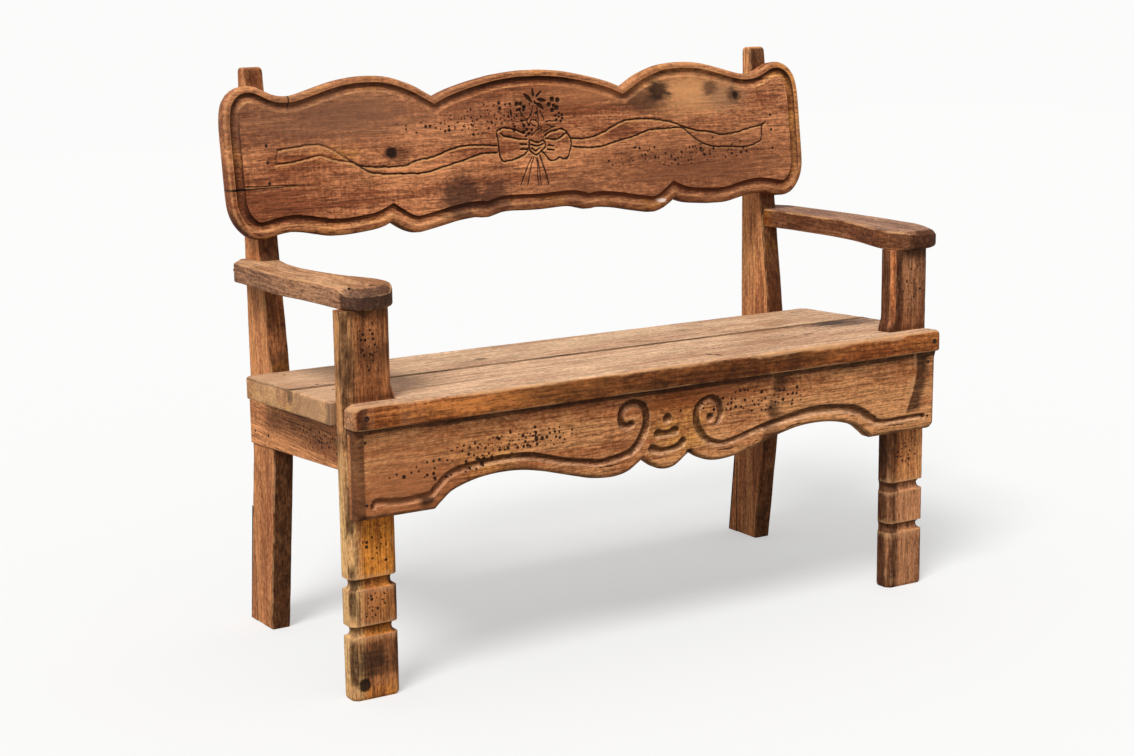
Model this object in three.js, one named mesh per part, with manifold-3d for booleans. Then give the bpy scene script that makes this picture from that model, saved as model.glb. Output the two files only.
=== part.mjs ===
// A rustic pine settle: a carved plank back nailed to two reclined rear posts, a two-plank
// seat on side rails, a shaped front apron, front posts with two grooves cut round each of
// them, and two flat arms.
//
// Millimetres, +Z up. X runs along the bench and Y from its front to its back.
// The drawing is made with X = 0 midway between the posts and Y = 0 on the front faces of the
// front posts. The finished bench is then moved so that its origin lies on the floor under
// the middle of its box.

import * as THREE from 'three';
import { mergeVertices } from 'three/addons/utils/BufferGeometryUtils.js';
import Module from 'manifold-3d';

const wasm = await Module();
wasm.setup();

// Joints
const jointGap = 0.3; // between pieces that touch
const notchGap = 2; // loose fit of the seat planks round the front posts
const seamGap = 1; // open seam between the two seat planks
const overrun = 20; // how far a cutting shape runs past the wood it cuts
const weldDistance = 0.0001; // points nearer than this are one point

// Front posts
const benchLength = 1124; // over the outer faces of the front posts
const frontPostWidth = 80;
const frontPostDepth = 32;
const frontArris = 7; // chamfer on the two front edges
const rearArris = 2; // chamfer on the two rear edges
const flareWidth = 6; // the inner side swells by this above the seat
const flareHeight = 30;
const upperGrooveHeight = 182;
const lowerGrooveHeight = 108;
const grooveWidth = 18;
const grooveDepth = 6.5;

// Seat
const seatHeight = 460.5; // top of the seat at the front posts
const seatFall = 13.5; // how much lower the top is at its rear edge
const seatDepth = 357; // from the posts' front faces to the rear edge
const seatThickness = 36;
const seatOverhang = 7.5; // past the front posts' outer faces, at each end
const seatSeam = 177.5; // where the two planks meet
const lipDepth = 38.5; // strip of the front plank that passes before the posts
const lipOverhang = 1.5; // the same for the lip
const lipCorner = 8; // chamfer on the lip's two corners
const plankArris = 4;

// Rear posts
const backHeight = 934;
const rearPostWidth = 34;
const rearPostInset = 41; // outer face, inside the front posts' outer faces
const rearPostDepth = 87; // at the seat
const rearPostTop = 23.2; // depth left at the top, because the front face leans back
const legBendHeight = 300; // the leg splays backwards below this
const frontSplay = 40; // run of the leg's front edge at the floor
const rearSplay = 38; // run of the leg's rear edge at the floor
const heelDepth = 26; // depth at the floor of the wedge that is glued on behind
const postCrown = 10; // round on the post's top corners
const postArris = 2.5;

// Rails under the seat
const sideRailThickness = 20;
const sideRailProud = 3; // how far the rail stands out of its housing
const sideRailFront = 84; // rail's height behind the front post
const sideRailRear = 93; // rail's height at its rear end
const rearRailThickness = 25;
const rearRailHeight = 90;
const railArris = 1.5;

// Apron
const apronThickness = 25;
const apronInset = 2; // short of the front posts' outer faces, at each end
const apronBottom = 287;
const apronArch = 40.5; // how high the arches rise above the apron's lower edge
const apronHalfCarving = 422; // from the carving's centre to the foot of its outer arch
const apronOffset = -5; // the carving was set out a little left of the bench's centre
const apronArris = 4;
const apronCorner = 8; // cut off the lower right corner

// Arms, sawn by hand, so the two differ
const armHeight = 598.5; // underside of the left arm at the front post
const rightArmLift = 2.5; // how much higher the right front post carries its arm
const armThickness = 32;
const armWidth = 100; // near the front post
const armOverhang = 12; // in front of the front post
const armReach = 440; // rear end, from the front posts' front faces
const armClip = 40; // length of the outer corner cut off the rear end
const armClipWidth = 27;
const leftArmFall = 5; // the left arm's rear end is this much lower
const rightArmRise = 5; // the right arm's rear end is this much higher
const armArris = 4;
const armNose = 12; // chamfer along the upper front edge

// Backrest
const boardOverhang = 11.5; // past the front posts' outer faces, at each end
const boardHeight = 264;
const boardRise = 51.8; // from the left arm's underside up to the board's lowest point
const boardThickness = 25;
const boardOffset = -5; // the carving's centre, left of the bench's centre
const rimWidth = 11; // flat rim outside the routed cove
const rimRound = 5; // round on the rim's outer edge
const coveWidth = 16;
const coveDepth = 6;

// Nails
const nailShank = 1.5; // radius
const nailHead = 2.8; // radius
const screwHead = 5; // radius of the screws through the seat's lip
const headDepth = 2.5;
const nailTip = 4;
const nailSink = 1; // heads lie this far below the wood
const boardNailLength = 55;
const apronNailLength = 50;
const lipScrewLength = 60;
const seatNailLength = 65;
const railNailLength = 33;
const railEndNailLength = 70;
const rearRailNailLength = 55;
const armPostNailLength = 68;
const armSideNailLength = 62;

// Worked out from the sizes above
const postOuter = benchLength / 2;
const postInner = postOuter - frontPostWidth;
const flareInner = postInner - flareWidth;
const rearOuter = postOuter - rearPostInset;
const rearInner = rearOuter - rearPostWidth;
const seatSlope = seatFall / seatDepth;
const postRear = seatDepth + rearPostDepth;
const heelRear = postRear + rearSplay;
const glueLine = heelRear - heelDepth;
const quarterTurn = Math.PI / 2;
const seatRearHeight = seatHeight - seatFall;
const recline = (rearPostDepth - rearPostTop) / (backHeight - seatRearHeight);
const reclineAngle = Math.atan(recline);
const railOuter = rearOuter + sideRailProud;
const railInner = railOuter - sideRailThickness;
const housedWidth = railInner - rearInner; // what the housing leaves of the post's width
const boardHalfLength = postOuter + boardOverhang;

// From the seat's rear edge up the slope to the board's lowest point
const boardFoot = (armHeight + boardRise - seatRearHeight) / Math.cos(reclineAngle);

const seatTopAt = (y) => seatHeight - seatSlope * y;
const seatUnderAt = (y) => seatTopAt(y) - seatThickness;

const pine = { colour: '#96603c', roughness: 0.62 };
const seatPine = { colour: '#c39b7c', roughness: 0.6 };
const darkPine = { colour: '#6f4427', roughness: 0.7 };
const palePine = { colour: '#a87650', roughness: 0.62 };
const iron = { colour: '#2a211b', roughness: 0.55, metalness: 0.6 };

// Solids

function solidOf(geometry) {
  const bare = geometry.clone();
  bare.deleteAttribute('normal');
  bare.deleteAttribute('uv');
  const merged = mergeVertices(bare, weldDistance);
  return new wasm.Manifold(new wasm.Mesh({
    numProp: 3,
    vertProperties: new Float32Array(merged.attributes.position.array),
    triVerts: new Uint32Array(merged.index.array),
  }));
}

function geometryOf(solid) {
  const mesh = solid.getMesh();
  const geometry = new THREE.BufferGeometry();
  geometry.setAttribute('position', new THREE.BufferAttribute(mesh.vertProperties, 3));
  geometry.setIndex(new THREE.BufferAttribute(mesh.triVerts, 1));
  geometry.computeVertexNormals();
  return geometry;
}

function cut(geometry, ...tools) {
  let solid = solidOf(geometry);
  for (const tool of tools) {
    solid = solid.subtract(solidOf(tool));
  }
  return geometryOf(solid);
}

// A closed skin over a pile of rings that all have the same number of points. Each ring
// runs anticlockwise seen from the last one, and the two ends are capped.
function skin(rings) {
  const count = rings[0].length;
  const positions = rings.flat().flatMap((p) => [p.x, p.y, p.z]);
  const faces = [];
  for (let level = 0; level + 1 < rings.length; level += 1) {
    for (let i = 0; i < count; i += 1) {
      const next = (i + 1) % count;
      const a = level * count + i;
      const b = level * count + next;
      faces.push([a, b, b + count], [a, b + count, a + count]);
    }
  }
  const flat = (ring) => ring.map((p) => new THREE.Vector2(p.x, p.y));
  const last = (rings.length - 1) * count;
  for (const [a, b, c] of THREE.ShapeUtils.triangulateShape(flat(rings[0]), [])) {
    faces.push([a, c, b]);
  }
  for (const [a, b, c] of THREE.ShapeUtils.triangulateShape(flat(rings.at(-1)), [])) {
    faces.push([last + a, last + b, last + c]);
  }
  const geometry = new THREE.BufferGeometry();
  geometry.setAttribute('position', new THREE.Float32BufferAttribute(positions, 3));
  geometry.setIndex(faces.flat());
  geometry.computeVertexNormals();
  return geometry;
}

// A slab with the given outline, from height 0 to its thickness, with chamfered edges.
function slab(outline, thickness, arris) {
  const shape = new THREE.Shape(outline.map(([u, v]) => new THREE.Vector2(u, v)));
  const geometry = new THREE.ExtrudeGeometry(shape, {
    depth: thickness - 2 * arris,
    bevelEnabled: arris > 0,
    bevelThickness: arris,
    bevelSize: arris,
    bevelOffset: -arris,
    bevelSegments: 1,
  });
  return geometry.translate(0, 0, arris);
}

// Turns a slab that was drawn flat so that its thickness runs along X, from x upwards.
function standSideways(geometry, x) {
  const turn = new THREE.Matrix4().makeBasis(
    new THREE.Vector3(0, 1, 0),
    new THREE.Vector3(0, 0, 1),
    new THREE.Vector3(1, 0, 0),
  );
  return geometry.applyMatrix4(turn).translate(x, 0, 0);
}

// Turns a flat slab so that its thickness runs towards the front, from y forwards.
function standFacing(geometry, y) {
  const turn = new THREE.Matrix4().makeBasis(
    new THREE.Vector3(1, 0, 0),
    new THREE.Vector3(0, 0, 1),
    new THREE.Vector3(0, -1, 0),
  );
  return geometry.applyMatrix4(turn).translate(0, y, 0);
}

// Slides every point up by slope times its distance behind Y = 0. Plan shapes stay as they are.
function rise(geometry, slope) {
  const shear = new THREE.Matrix4();
  shear.elements[6] = slope;
  return geometry.applyMatrix4(shear);
}

// A copy of a right-hand piece for the left side, with its faces turned the right way again.
function mirrored(geometry) {
  const copy = mergeVertices(geometry.clone().scale(-1, 1, 1));
  const index = copy.index.array;
  for (let i = 0; i < index.length; i += 3) {
    [index[i + 1], index[i + 2]] = [index[i + 2], index[i + 1]];
  }
  copy.computeVertexNormals();
  return copy;
}

// Curves

// Points along a smooth curve through the given points, without the last one.
function smoothRun(points, steps) {
  const curve = new THREE.SplineCurve(points.map(([u, v]) => new THREE.Vector2(u, v)));
  const count = steps * (points.length - 1);
  return curve.getPoints(count).slice(0, -1).map((p) => [p.x, p.y]);
}

// A closed outline from its right half, which runs from the bottom's middle to the top's.
function wholeOutline(half, place) {
  const left = half.slice(1, -1).reverse().map(([u, v]) => [-u, v]);
  return [...half, ...left].map(([u, v]) => place(u, v));
}

// The outline moved into the wood by the given distance, with mitred corners.
function inset(outline, distance) {
  const count = outline.length;
  return outline.map(([u, v], i) => {
    const [pu, pv] = outline[(i + count - 1) % count];
    const [nu, nv] = outline[(i + 1) % count];
    const before = new THREE.Vector2(u - pu, v - pv).normalize();
    const after = new THREE.Vector2(nu - u, nv - v).normalize();
    const normal = new THREE.Vector2(-before.y - after.y, before.x + after.x).normalize();
    const spread = normal.x * -after.y + normal.y * after.x;
    return [u + (normal.x * distance) / spread, v + (normal.y * distance) / spread];
  });
}

// Nails. A nail is drawn along +Z from the middle of its head.

const nailSides = 8;

function lathe(profile) {
  const points = profile.map(([radius, along]) => new THREE.Vector2(radius, along));
  return new THREE.LatheGeometry(points, nailSides).rotateX(quarterTurn);
}

function aimed(geometry, nail) {
  const turn = new THREE.Quaternion().setFromUnitVectors(new THREE.Vector3(0, 0, 1), nail.way);
  return geometry.applyQuaternion(turn).translate(nail.at.x, nail.at.y, nail.at.z);
}

function nailGeometry(nail) {
  const top = nailSink;
  const neck = nailSink + headDepth;
  return aimed(lathe([
    [0, top],
    [nail.head, top],
    [nail.head, neck],
    [nailShank, neck],
    [nailShank, nail.length - nailTip],
    [0, nail.length],
  ]), nail);
}

function boreGeometry(nail) {
  const neck = nailSink + headDepth + jointGap;
  const end = nail.length + jointGap;
  return aimed(lathe([
    [0, -overrun],
    [nail.head + jointGap, -overrun],
    [nail.head + jointGap, neck],
    [nailShank + jointGap, neck],
    [nailShank + jointGap, end],
    [0, end],
  ]), nail);
}

// Carved backrest

// The right half of the board's outline, from the middle of its lower edge outwards and back
// along the top, as shares of half its length and of its height.
const boardHalfShares = [
  [0, 0.081], [0.078, 0.087], [0.122, 0.085], [0.153, 0.07], [0.177, 0.059], [0.201, 0.064],
  [0.227, 0.064], [0.279, 0.052], [0.331, 0.03], [0.384, 0.009], [0.415, 0.001], [0.445, 0.018],
  [0.471, 0.047], [0.496, 0.083], [0.52, 0.061], [0.549, 0.045], [0.593, 0.034], [0.642, 0.026],
  [0.689, 0.027], [0.732, 0.044], [0.776, 0.063], [0.816, 0.07], [0.854, 0.062], [0.886, 0.047],
  [0.915, 0.04], [0.942, 0.055], [0.964, 0.092], [0.982, 0.142], [0.994, 0.205], [0.999, 0.275],
  [1, 0.4], [1, 0.55], [1, 0.7], [0.997, 0.795], [0.989, 0.867], [0.973, 0.92], [0.95, 0.955],
  [0.924, 0.97], [0.898, 0.965], [0.872, 0.941], [0.846, 0.914], [0.82, 0.9], [0.793, 0.898],
  [0.764, 0.908], [0.731, 0.927], [0.68, 0.958], [0.629, 0.984], [0.579, 0.997], [0.525, 0.998],
  [0.474, 0.986], [0.424, 0.953], [0.387, 0.92], [0.357, 0.883], [0.328, 0.848], [0.305, 0.871],
  [0.27, 0.898], [0.218, 0.929], [0.166, 0.954], [0.113, 0.975], [0.044, 0.989], [0, 0.99],
];

function boardOutline() {
  return wholeOutline(boardHalfShares, (across, up) => {
    const shift = boardOffset * (1 - across * across);
    return [across * boardHalfLength + shift, boardFoot + up * boardHeight];
  });
}

const boardPlace = new THREE.Matrix4().makeBasis(
  new THREE.Vector3(1, 0, 0),
  new THREE.Vector3(0, Math.sin(reclineAngle), Math.cos(reclineAngle)),
  new THREE.Vector3(0, -Math.cos(reclineAngle), Math.sin(reclineAngle)),
).setPosition(0, seatDepth, seatRearHeight);

// The rim is round outside, then flat, and a cove inside it sinks and climbs to the field.
function backrestBoard() {
  const outline = boardOutline();
  const back = jointGap;
  const front = jointGap + boardThickness;
  const coveShares = [0.15, 0.5, 0.85];
  const worn = rimRound * (1 - Math.SQRT1_2);
  const levels = [
    [0, back],
    [0, front - rimRound],
    [worn, front - worn],
    [rimRound, front],
    [rimWidth, front],
    ...coveShares.map((share) => {
      return [rimWidth + share * coveWidth, front - coveDepth * Math.sin(share * Math.PI)];
    }),
    [rimWidth + coveWidth, front],
  ];
  const rings = levels.map(([distance, height]) => {
    return inset(outline, distance).map(([u, v]) => new THREE.Vector3(u, v, height));
  });
  return skin(rings).applyMatrix4(boardPlace);
}

function boardNails(side, name) {
  const heightShares = [0.373, 0.5, 0.602];
  const x = side * (rearInner + rearOuter) / 2;
  return heightShares.map((share, i) => ({
    name: `back_nail_${name}_${i + 1}`,
    at: new THREE.Vector3(x, boardFoot + share * boardHeight, boardThickness + jointGap)
      .applyMatrix4(boardPlace),
    way: new THREE.Vector3(0, Math.cos(reclineAngle), -Math.sin(reclineAngle)),
    length: boardNailLength,
    head: nailHead,
    into: ['backrest_board', `${name}_rear_post`],
  }));
}

// Rear posts and their heels

function roundedTop() {
  const front = postRear - rearPostTop;
  const crownShare = 0.45; // the most of the top that each round may take
  const crown = Math.min(postCrown, crownShare * rearPostTop);
  const turnShares = [0, 0.33, 0.67, 1];
  const quarter = turnShares.map((share) => share * quarterTurn);
  const fore = quarter.map((angle) => [
    front + crown * (1 - Math.cos(angle)),
    backHeight - crown * (1 - Math.sin(angle)),
  ]);
  const aft = quarter.map((angle) => [
    postRear - crown * (1 - Math.sin(angle)),
    backHeight - crown * (1 - Math.cos(angle)),
  ]);
  return [fore.slice(0, 1), fore.slice(1), aft.slice(0, -1), aft.slice(-1)].flat();
}

const splayShare = (glueLine - postRear) / rearSplay;
const glueHeight = legBendHeight * (1 - splayShare);

function rearPostOutline() {
  const top = roundedTop();
  return [
    [glueLine, 0],
    [glueLine, glueHeight],
    [postRear, legBendHeight],
    ...top.toReversed(),
    [seatDepth, seatRearHeight],
    [seatDepth, legBendHeight],
    [seatDepth + frontSplay, 0],
  ];
}

function rearPost() {
  const post = standSideways(slab(rearPostOutline(), rearPostWidth, postArris), rearInner);
  return cut(post, railHousing());
}

function heelWedge() {
  const outline = [
    [glueLine + jointGap, 0],
    [heelRear, 0],
    [glueLine + jointGap, glueHeight * (1 - jointGap / (heelRear - glueLine))],
  ];
  return standSideways(slab(outline, rearPostWidth, 0), rearInner);
}

// Side rails, halved into the outer sides of the rear posts

function railSlab(clearance, beyond) {
  const front = frontPostDepth + jointGap;
  const top = (y) => seatUnderAt(y) - jointGap + clearance;
  const bottomFront = seatUnderAt(front) - sideRailFront - clearance;
  const bottomRear = seatUnderAt(postRear) - sideRailRear - clearance;
  const rear = postRear + beyond;
  const bottomSlope = (bottomRear - bottomFront) / (postRear - front);
  const outline = [
    [front, bottomFront],
    [rear, bottomFront + bottomSlope * (rear - front)],
    [rear, top(rear)],
    [front, top(front)],
  ];
  const thickness = sideRailThickness + clearance + beyond;
  const arris = beyond > 0 ? 0 : railArris;
  return standSideways(slab(outline, thickness, arris), railInner - clearance);
}

const sideRail = () => railSlab(0, 0);
const railHousing = () => railSlab(jointGap, overrun);

function housingNails(side, name) {
  const placeShares = [[0.17, 0.24], [0.78, 0.25]];
  return placeShares.map(([back, up], i) => {
    const y = seatDepth + back * rearPostDepth;
    return {
      name: `rail_nail_${name}_${i + 1}`,
      at: new THREE.Vector3(side * railOuter, y, seatUnderAt(y) - (1 - up) * sideRailRear),
      way: new THREE.Vector3(-side, 0, 0),
      length: railNailLength,
      head: nailHead,
      into: [`${name}_side_rail`, `${name}_rear_post`],
    };
  });
}

function railEndNails(side, name) {
  const heightShares = [0.3, 0.72];
  return heightShares.map((share, i) => ({
    name: `rail_end_nail_${name}_${i + 1}`,
    at: new THREE.Vector3(
      side * (railInner + railOuter) / 2,
      0,
      seatUnderAt(frontPostDepth) - share * sideRailFront,
    ),
    way: new THREE.Vector3(0, 1, 0),
    length: railEndNailLength,
    head: nailHead,
    into: [`${name}_front_post`, `${name}_side_rail`],
  }));
}

// Rear rail, between the side rails and nailed to the front of the rear posts

function rearRail() {
  const end = railInner - jointGap;
  const top = seatUnderAt(seatDepth) - jointGap;
  const bottom = top - rearRailHeight;
  const outline = [[-end, bottom], [end, bottom], [end, top], [-end, top]];
  return standFacing(slab(outline, rearRailThickness, railArris), seatDepth - jointGap);
}

function rearRailNails(side, name) {
  const heightShares = [0.22, 0.62];
  return heightShares.map((share, i) => ({
    name: `rear_rail_nail_${name}_${i + 1}`,
    at: new THREE.Vector3(
      side * (rearInner + housedWidth / 2),
      seatDepth - jointGap - rearRailThickness,
      seatUnderAt(seatDepth) - share * rearRailHeight,
    ),
    way: new THREE.Vector3(0, 1, 0),
    length: rearRailNailLength,
    head: nailHead,
    into: ['rear_rail', `${name}_rear_post`],
  }));
}

// Front posts

// One level of a front post: a rectangle with chamfered corners, drawn in by a groove.
function postRing(height, inner, drawnIn, topSlope) {
  const x0 = inner + drawnIn;
  const x1 = postOuter - drawnIn;
  const y0 = drawnIn;
  const y1 = frontPostDepth - drawnIn;
  const corners = [
    [x0 + frontArris, y0],
    [x1 - frontArris, y0],
    [x1, y0 + frontArris],
    [x1, y1 - rearArris],
    [x1 - rearArris, y1],
    [x0 + rearArris, y1],
    [x0, y1 - rearArris],
    [x0, y0 + frontArris],
  ];
  return corners.map(([x, y]) => new THREE.Vector3(x, y, height + topSlope * y));
}

function frontPost(topHeight, armSlope) {
  const rings = [postRing(0, postInner, 0, 0)];
  const coveShares = [-1, -0.85, -0.5, 0, 0.5, 0.85, 1];
  for (const middle of [lowerGrooveHeight, upperGrooveHeight]) {
    for (const share of coveShares) {
      const drawnIn = grooveDepth * Math.sqrt(1 - share * share);
      rings.push(postRing(middle + share * grooveWidth / 2, postInner, drawnIn, 0));
    }
  }
  rings.push(postRing(apronBottom, postInner, 0, 0));
  rings.push(postRing(apronBottom + flareWidth, flareInner, 0, 0));
  const flareShares = [0, 0.3, 0.6, 1];
  for (const share of flareShares) {
    const inner = flareInner + flareWidth * (1 - (1 - share) ** 2);
    rings.push(postRing(seatHeight + share * flareHeight, inner, 0, 0));
  }
  rings.push(postRing(topHeight - jointGap, postInner, 0, armSlope));
  return skin(rings);
}

// Apron

// The right half of the apron's lower edge, from the middle of its centre drop outwards, as
// shares of the carving's half length and of the arches' rise. Each run ends in a cusp.
const apronRunShares = [
  [[0, 0.09], [0.021, 0.11], [0.043, 0.18], [0.065, 0.32], [0.085, 0.47], [0.109, 0.64]],
  [[0.109, 0.64], [0.145, 0.4], [0.171, 0.25], [0.209, 0.14], [0.261, 0.11], [0.336, 0.19],
    [0.408, 0.38], [0.491, 0.62], [0.552, 0.79], [0.64, 0.96], [0.735, 1], [0.829, 0.9],
    [0.922, 0.62], [0.969, 0.28], [1, 0]],
];

const apronSteps = 2;

function apronOutline() {
  const run = apronRunShares.flatMap((points) => smoothRun(points, apronSteps));
  const half = [...run, apronRunShares.at(-1).at(-1)];
  const place = ([across, up]) => {
    return [apronOffset + across * apronHalfCarving, apronBottom + up * apronArch];
  };
  const right = half.map(place);
  const left = half.slice(1).map(([across, up]) => place([-across, up])).toReversed();
  const end = postOuter - apronInset;
  const top = seatUnderAt(0) - jointGap;
  return [
    ...left,
    ...right,
    [end - apronCorner, apronBottom],
    [end, apronBottom + apronCorner],
    [end, top],
    [-end, top],
    [-end, apronBottom],
  ];
}

function frontApron() {
  return standFacing(slab(apronOutline(), apronThickness, apronArris), -jointGap);
}

function apronNails(side, name) {
  const heightShares = [0.17, 0.86];
  const acrossShare = 0.24;
  const height = seatUnderAt(0) - apronBottom;
  return heightShares.map((share, i) => ({
    name: `apron_nail_${name}_${i + 1}`,
    at: new THREE.Vector3(
      side * (postOuter - acrossShare * frontPostWidth),
      -jointGap - apronThickness,
      apronBottom + share * height,
    ),
    way: new THREE.Vector3(0, 1, 0),
    length: apronNailLength,
    head: nailHead,
    into: ['front_apron', `${name}_front_post`],
  }));
}

// Seat planks

function frontPlankOutline() {
  const end = postOuter + seatOverhang;
  const lip = postOuter + lipOverhang;
  const notch = flareInner - jointGap;
  const behind = frontPostDepth + notchGap;
  const seam = seatSeam - seamGap / 2;
  const right = [
    [lip - lipCorner, -lipDepth],
    [lip, lipCorner - lipDepth],
    [lip, -jointGap],
    [notch, -jointGap],
    [notch, behind],
    [end, behind],
    [end, seam],
  ];
  return [...right, ...right.toReversed().map(([x, y]) => [-x, y])];
}

function rearPlankOutline() {
  const end = postOuter + seatOverhang;
  const front = seatSeam + seamGap / 2;
  const rear = seatDepth - jointGap;
  const right = [[end, front], [end, rear - lipCorner], [end - lipCorner, rear]];
  return [...right, ...right.toReversed().map(([x, y]) => [-x, y])];
}

function seatPlank(outline) {
  const plank = slab(outline, seatThickness, plankArris).translate(0, 0, seatUnderAt(0));
  return rise(plank, -seatSlope);
}

function lipScrew(side, name) {
  const acrossShare = 0.21;
  return {
    name: `lip_screw_${name}`,
    at: new THREE.Vector3(
      side * (postOuter - acrossShare * frontPostWidth),
      -lipDepth,
      (seatTopAt(-lipDepth) + seatUnderAt(-lipDepth)) / 2,
    ),
    way: new THREE.Vector3(0, 1, 0),
    length: lipScrewLength,
    head: screwHead,
    into: ['seat_front_plank', `${name}_front_post`],
  };
}

function seatNails(side, name) {
  const frontShare = 0.78;
  const rearShares = [0.11, 0.8];
  const places = [
    ['seat_front_plank', frontShare * seatSeam],
    ...rearShares.map((share) => ['seat_rear_plank', seatSeam + share * (seatDepth - seatSeam)]),
  ];
  return places.map(([plank, y], i) => ({
    name: `seat_nail_${name}_${i + 1}`,
    at: new THREE.Vector3(side * (railInner + railOuter) / 2, y, seatTopAt(y)),
    way: new THREE.Vector3(0, 0, -1),
    length: seatNailLength,
    head: nailHead,
    into: [plank, `${name}_side_rail`],
  }));
}

// Arms

const armLength = armReach + armOverhang;

// Each arm's edges from the middle of its front end to the rear post, as shares of its width,
// counted inwards from the post's outer face, and of its length.
const armShapes = {
  left: {
    height: armHeight,
    slope: -leftArmFall / armReach,
    innerShares: [[0.41, 0], [0.62, 0.007], [0.8, 0.031], [0.94, 0.07], [1.01, 0.13], [1, 0.215],
      [0.91, 0.283], [0.77, 0.372], [0.67, 0.487], [0.62, 0.613], [0.63, 0.712], [0.68, 0.79],
      [0.75, 0.86]],
    outerShares: [[0.41, 0], [0.26, 0.008], [0.16, 0.031], [0.09, 0.07], [0.07, 0.137],
      [0.06, 0.248], [0.02, 0.358], [-0.04, 0.482], [-0.03, 0.646], [0, 0.79], [0, 0.9]],
  },
  right: {
    height: armHeight + rightArmLift,
    slope: rightArmRise / armReach,
    innerShares: [[0.2, 0], [0.42, 0.004], [0.62, 0.022], [0.74, 0.053], [0.79, 0.1],
      [0.76, 0.15], [0.69, 0.215], [0.61, 0.281], [0.56, 0.358], [0.54, 0.469], [0.57, 0.59],
      [0.62, 0.712], [0.67, 0.8], [0.69, 0.86]],
    outerShares: [[0.2, 0], [0, 0.007], [-0.15, 0.027], [-0.25, 0.064], [-0.3, 0.115],
      [-0.32, 0.204], [-0.32, 0.314], [-0.3, 0.447], [-0.26, 0.569], [-0.2, 0.69], [-0.14, 0.8],
      [-0.06, 0.91]],
  },
};

function armOutline(shape) {
  const place = ([across, along]) => {
    return [postOuter - across * armWidth, along * armLength - armOverhang];
  };
  const inner = shape.innerShares.slice(1, -1).map(place);
  const outer = shape.outerShares.map(place);
  const [cornerX, cornerY] = outer.at(-1);
  return [
    ...outer,
    [cornerX - armClipWidth, cornerY + armClip],
    [rearInner, cornerY + armClip],
    place(shape.innerShares.at(-1)),
    ...inner.toReversed(),
  ];
}

// The wedge taken off the upper front edge
function armNoseCut(top) {
  const reach = armNose + overrun;
  const outline = [
    [-armOverhang - overrun, top - reach],
    [-armOverhang - overrun + 2 * reach, top + reach],
    [-armOverhang - overrun, top + reach],
  ];
  const width = rearOuter + armWidth;
  return standSideways(slab(outline, width, 0), rearInner - armWidth);
}

function arm(shape) {
  const block = slab(armOutline(shape), armThickness, armArris).translate(0, 0, shape.height);
  const grown = inset(rearPostOutline(), -jointGap);
  const post = slab(grown, rearPostWidth + 2 * jointGap, 0);
  const notch = standSideways(post, rearInner - jointGap);
  return cut(rise(block, shape.slope), notch, armNoseCut(shape.height + armThickness));
}

function armPostNails(side, name) {
  const { height, slope } = armShapes[name];
  const placeShares = [0.27, 0.71];
  return placeShares.map((share, i) => ({
    name: `arm_nail_${name}_${i + 1}`,
    at: new THREE.Vector3(
      side * (postOuter - share * frontPostWidth),
      frontPostDepth / 2,
      height + armThickness + slope * frontPostDepth / 2,
    ),
    way: new THREE.Vector3(0, 0, -1),
    length: armPostNailLength,
    head: nailHead,
    into: [`${name}_arm`, `${name}_front_post`],
  }));
}

function armSideNails(side, name) {
  const { height, slope, outerShares } = armShapes[name];
  const [across] = outerShares.at(-1);
  const placeShares = [[0.14, 0.3], [0.22, 0.62]];
  return placeShares.map(([back, up], i) => {
    const y = seatDepth + recline * (armHeight - seatRearHeight) + back * rearPostDepth;
    return {
      name: `arm_side_nail_${name}_${i + 1}`,
      at: new THREE.Vector3(
        side * (postOuter - across * armWidth),
        y,
        height + slope * y + up * armThickness,
      ),
      way: new THREE.Vector3(-side, 0, 0),
      length: armSideNailLength,
      head: nailHead,
      into: [`${name}_arm`, `${name}_rear_post`],
    };
  });
}

// The bench

const pieces = [
  ['backrest_board', backrestBoard(), pine],
  ['left_rear_post', mirrored(rearPost()), palePine],
  ['right_rear_post', rearPost(), palePine],
  ['left_heel', mirrored(heelWedge()), palePine],
  ['right_heel', heelWedge(), palePine],
  ['left_front_post', mirrored(frontPost(armShapes.left.height, armShapes.left.slope)), pine],
  ['right_front_post', frontPost(armShapes.right.height, armShapes.right.slope), pine],
  ['front_apron', frontApron(), pine],
  ['seat_front_plank', seatPlank(frontPlankOutline()), seatPine],
  ['seat_rear_plank', seatPlank(rearPlankOutline()), seatPine],
  ['left_side_rail', mirrored(sideRail()), darkPine],
  ['right_side_rail', sideRail(), darkPine],
  ['rear_rail', rearRail(), darkPine],
  ['left_arm', mirrored(arm(armShapes.left)), seatPine],
  ['right_arm', arm(armShapes.right), seatPine],
];

const sides = [[-1, 'left'], [1, 'right']];
const nails = sides.flatMap(([side, name]) => [
  ...boardNails(side, name),
  ...apronNails(side, name),
  lipScrew(side, name),
  ...seatNails(side, name),
  ...housingNails(side, name),
  ...railEndNails(side, name),
  ...rearRailNails(side, name),
  ...armPostNails(side, name),
  ...armSideNails(side, name),
]);

function meshOf(name, geometry, look) {
  const material = new THREE.MeshStandardMaterial({
    color: look.colour,
    roughness: look.roughness,
    metalness: look.metalness ?? 0,
  });
  const mesh = new THREE.Mesh(geometry, material);
  mesh.name = name;
  return mesh;
}

const bench = new THREE.Group();
for (const [name, geometry, look] of pieces) {
  const bores = nails.filter((nail) => nail.into.includes(name)).map(boreGeometry);
  bench.add(meshOf(name, cut(geometry, ...bores), look));
}
for (const nail of nails) {
  bench.add(meshOf(nail.name, nailGeometry(nail), iron));
}

const box = new THREE.Box3().setFromObject(bench);
bench.position.set(-(box.min.x + box.max.x) / 2, -(box.min.y + box.max.y) / 2, -box.min.z);

export default bench;
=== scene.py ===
"""Looks of a rustic pine settle with a carved back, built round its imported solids.

Shapes are worked out in the maker's millimetres: X runs along the bench from midway between its
posts, Y from the front faces of the front posts to the back, Z up from the floor.
"""

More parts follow.
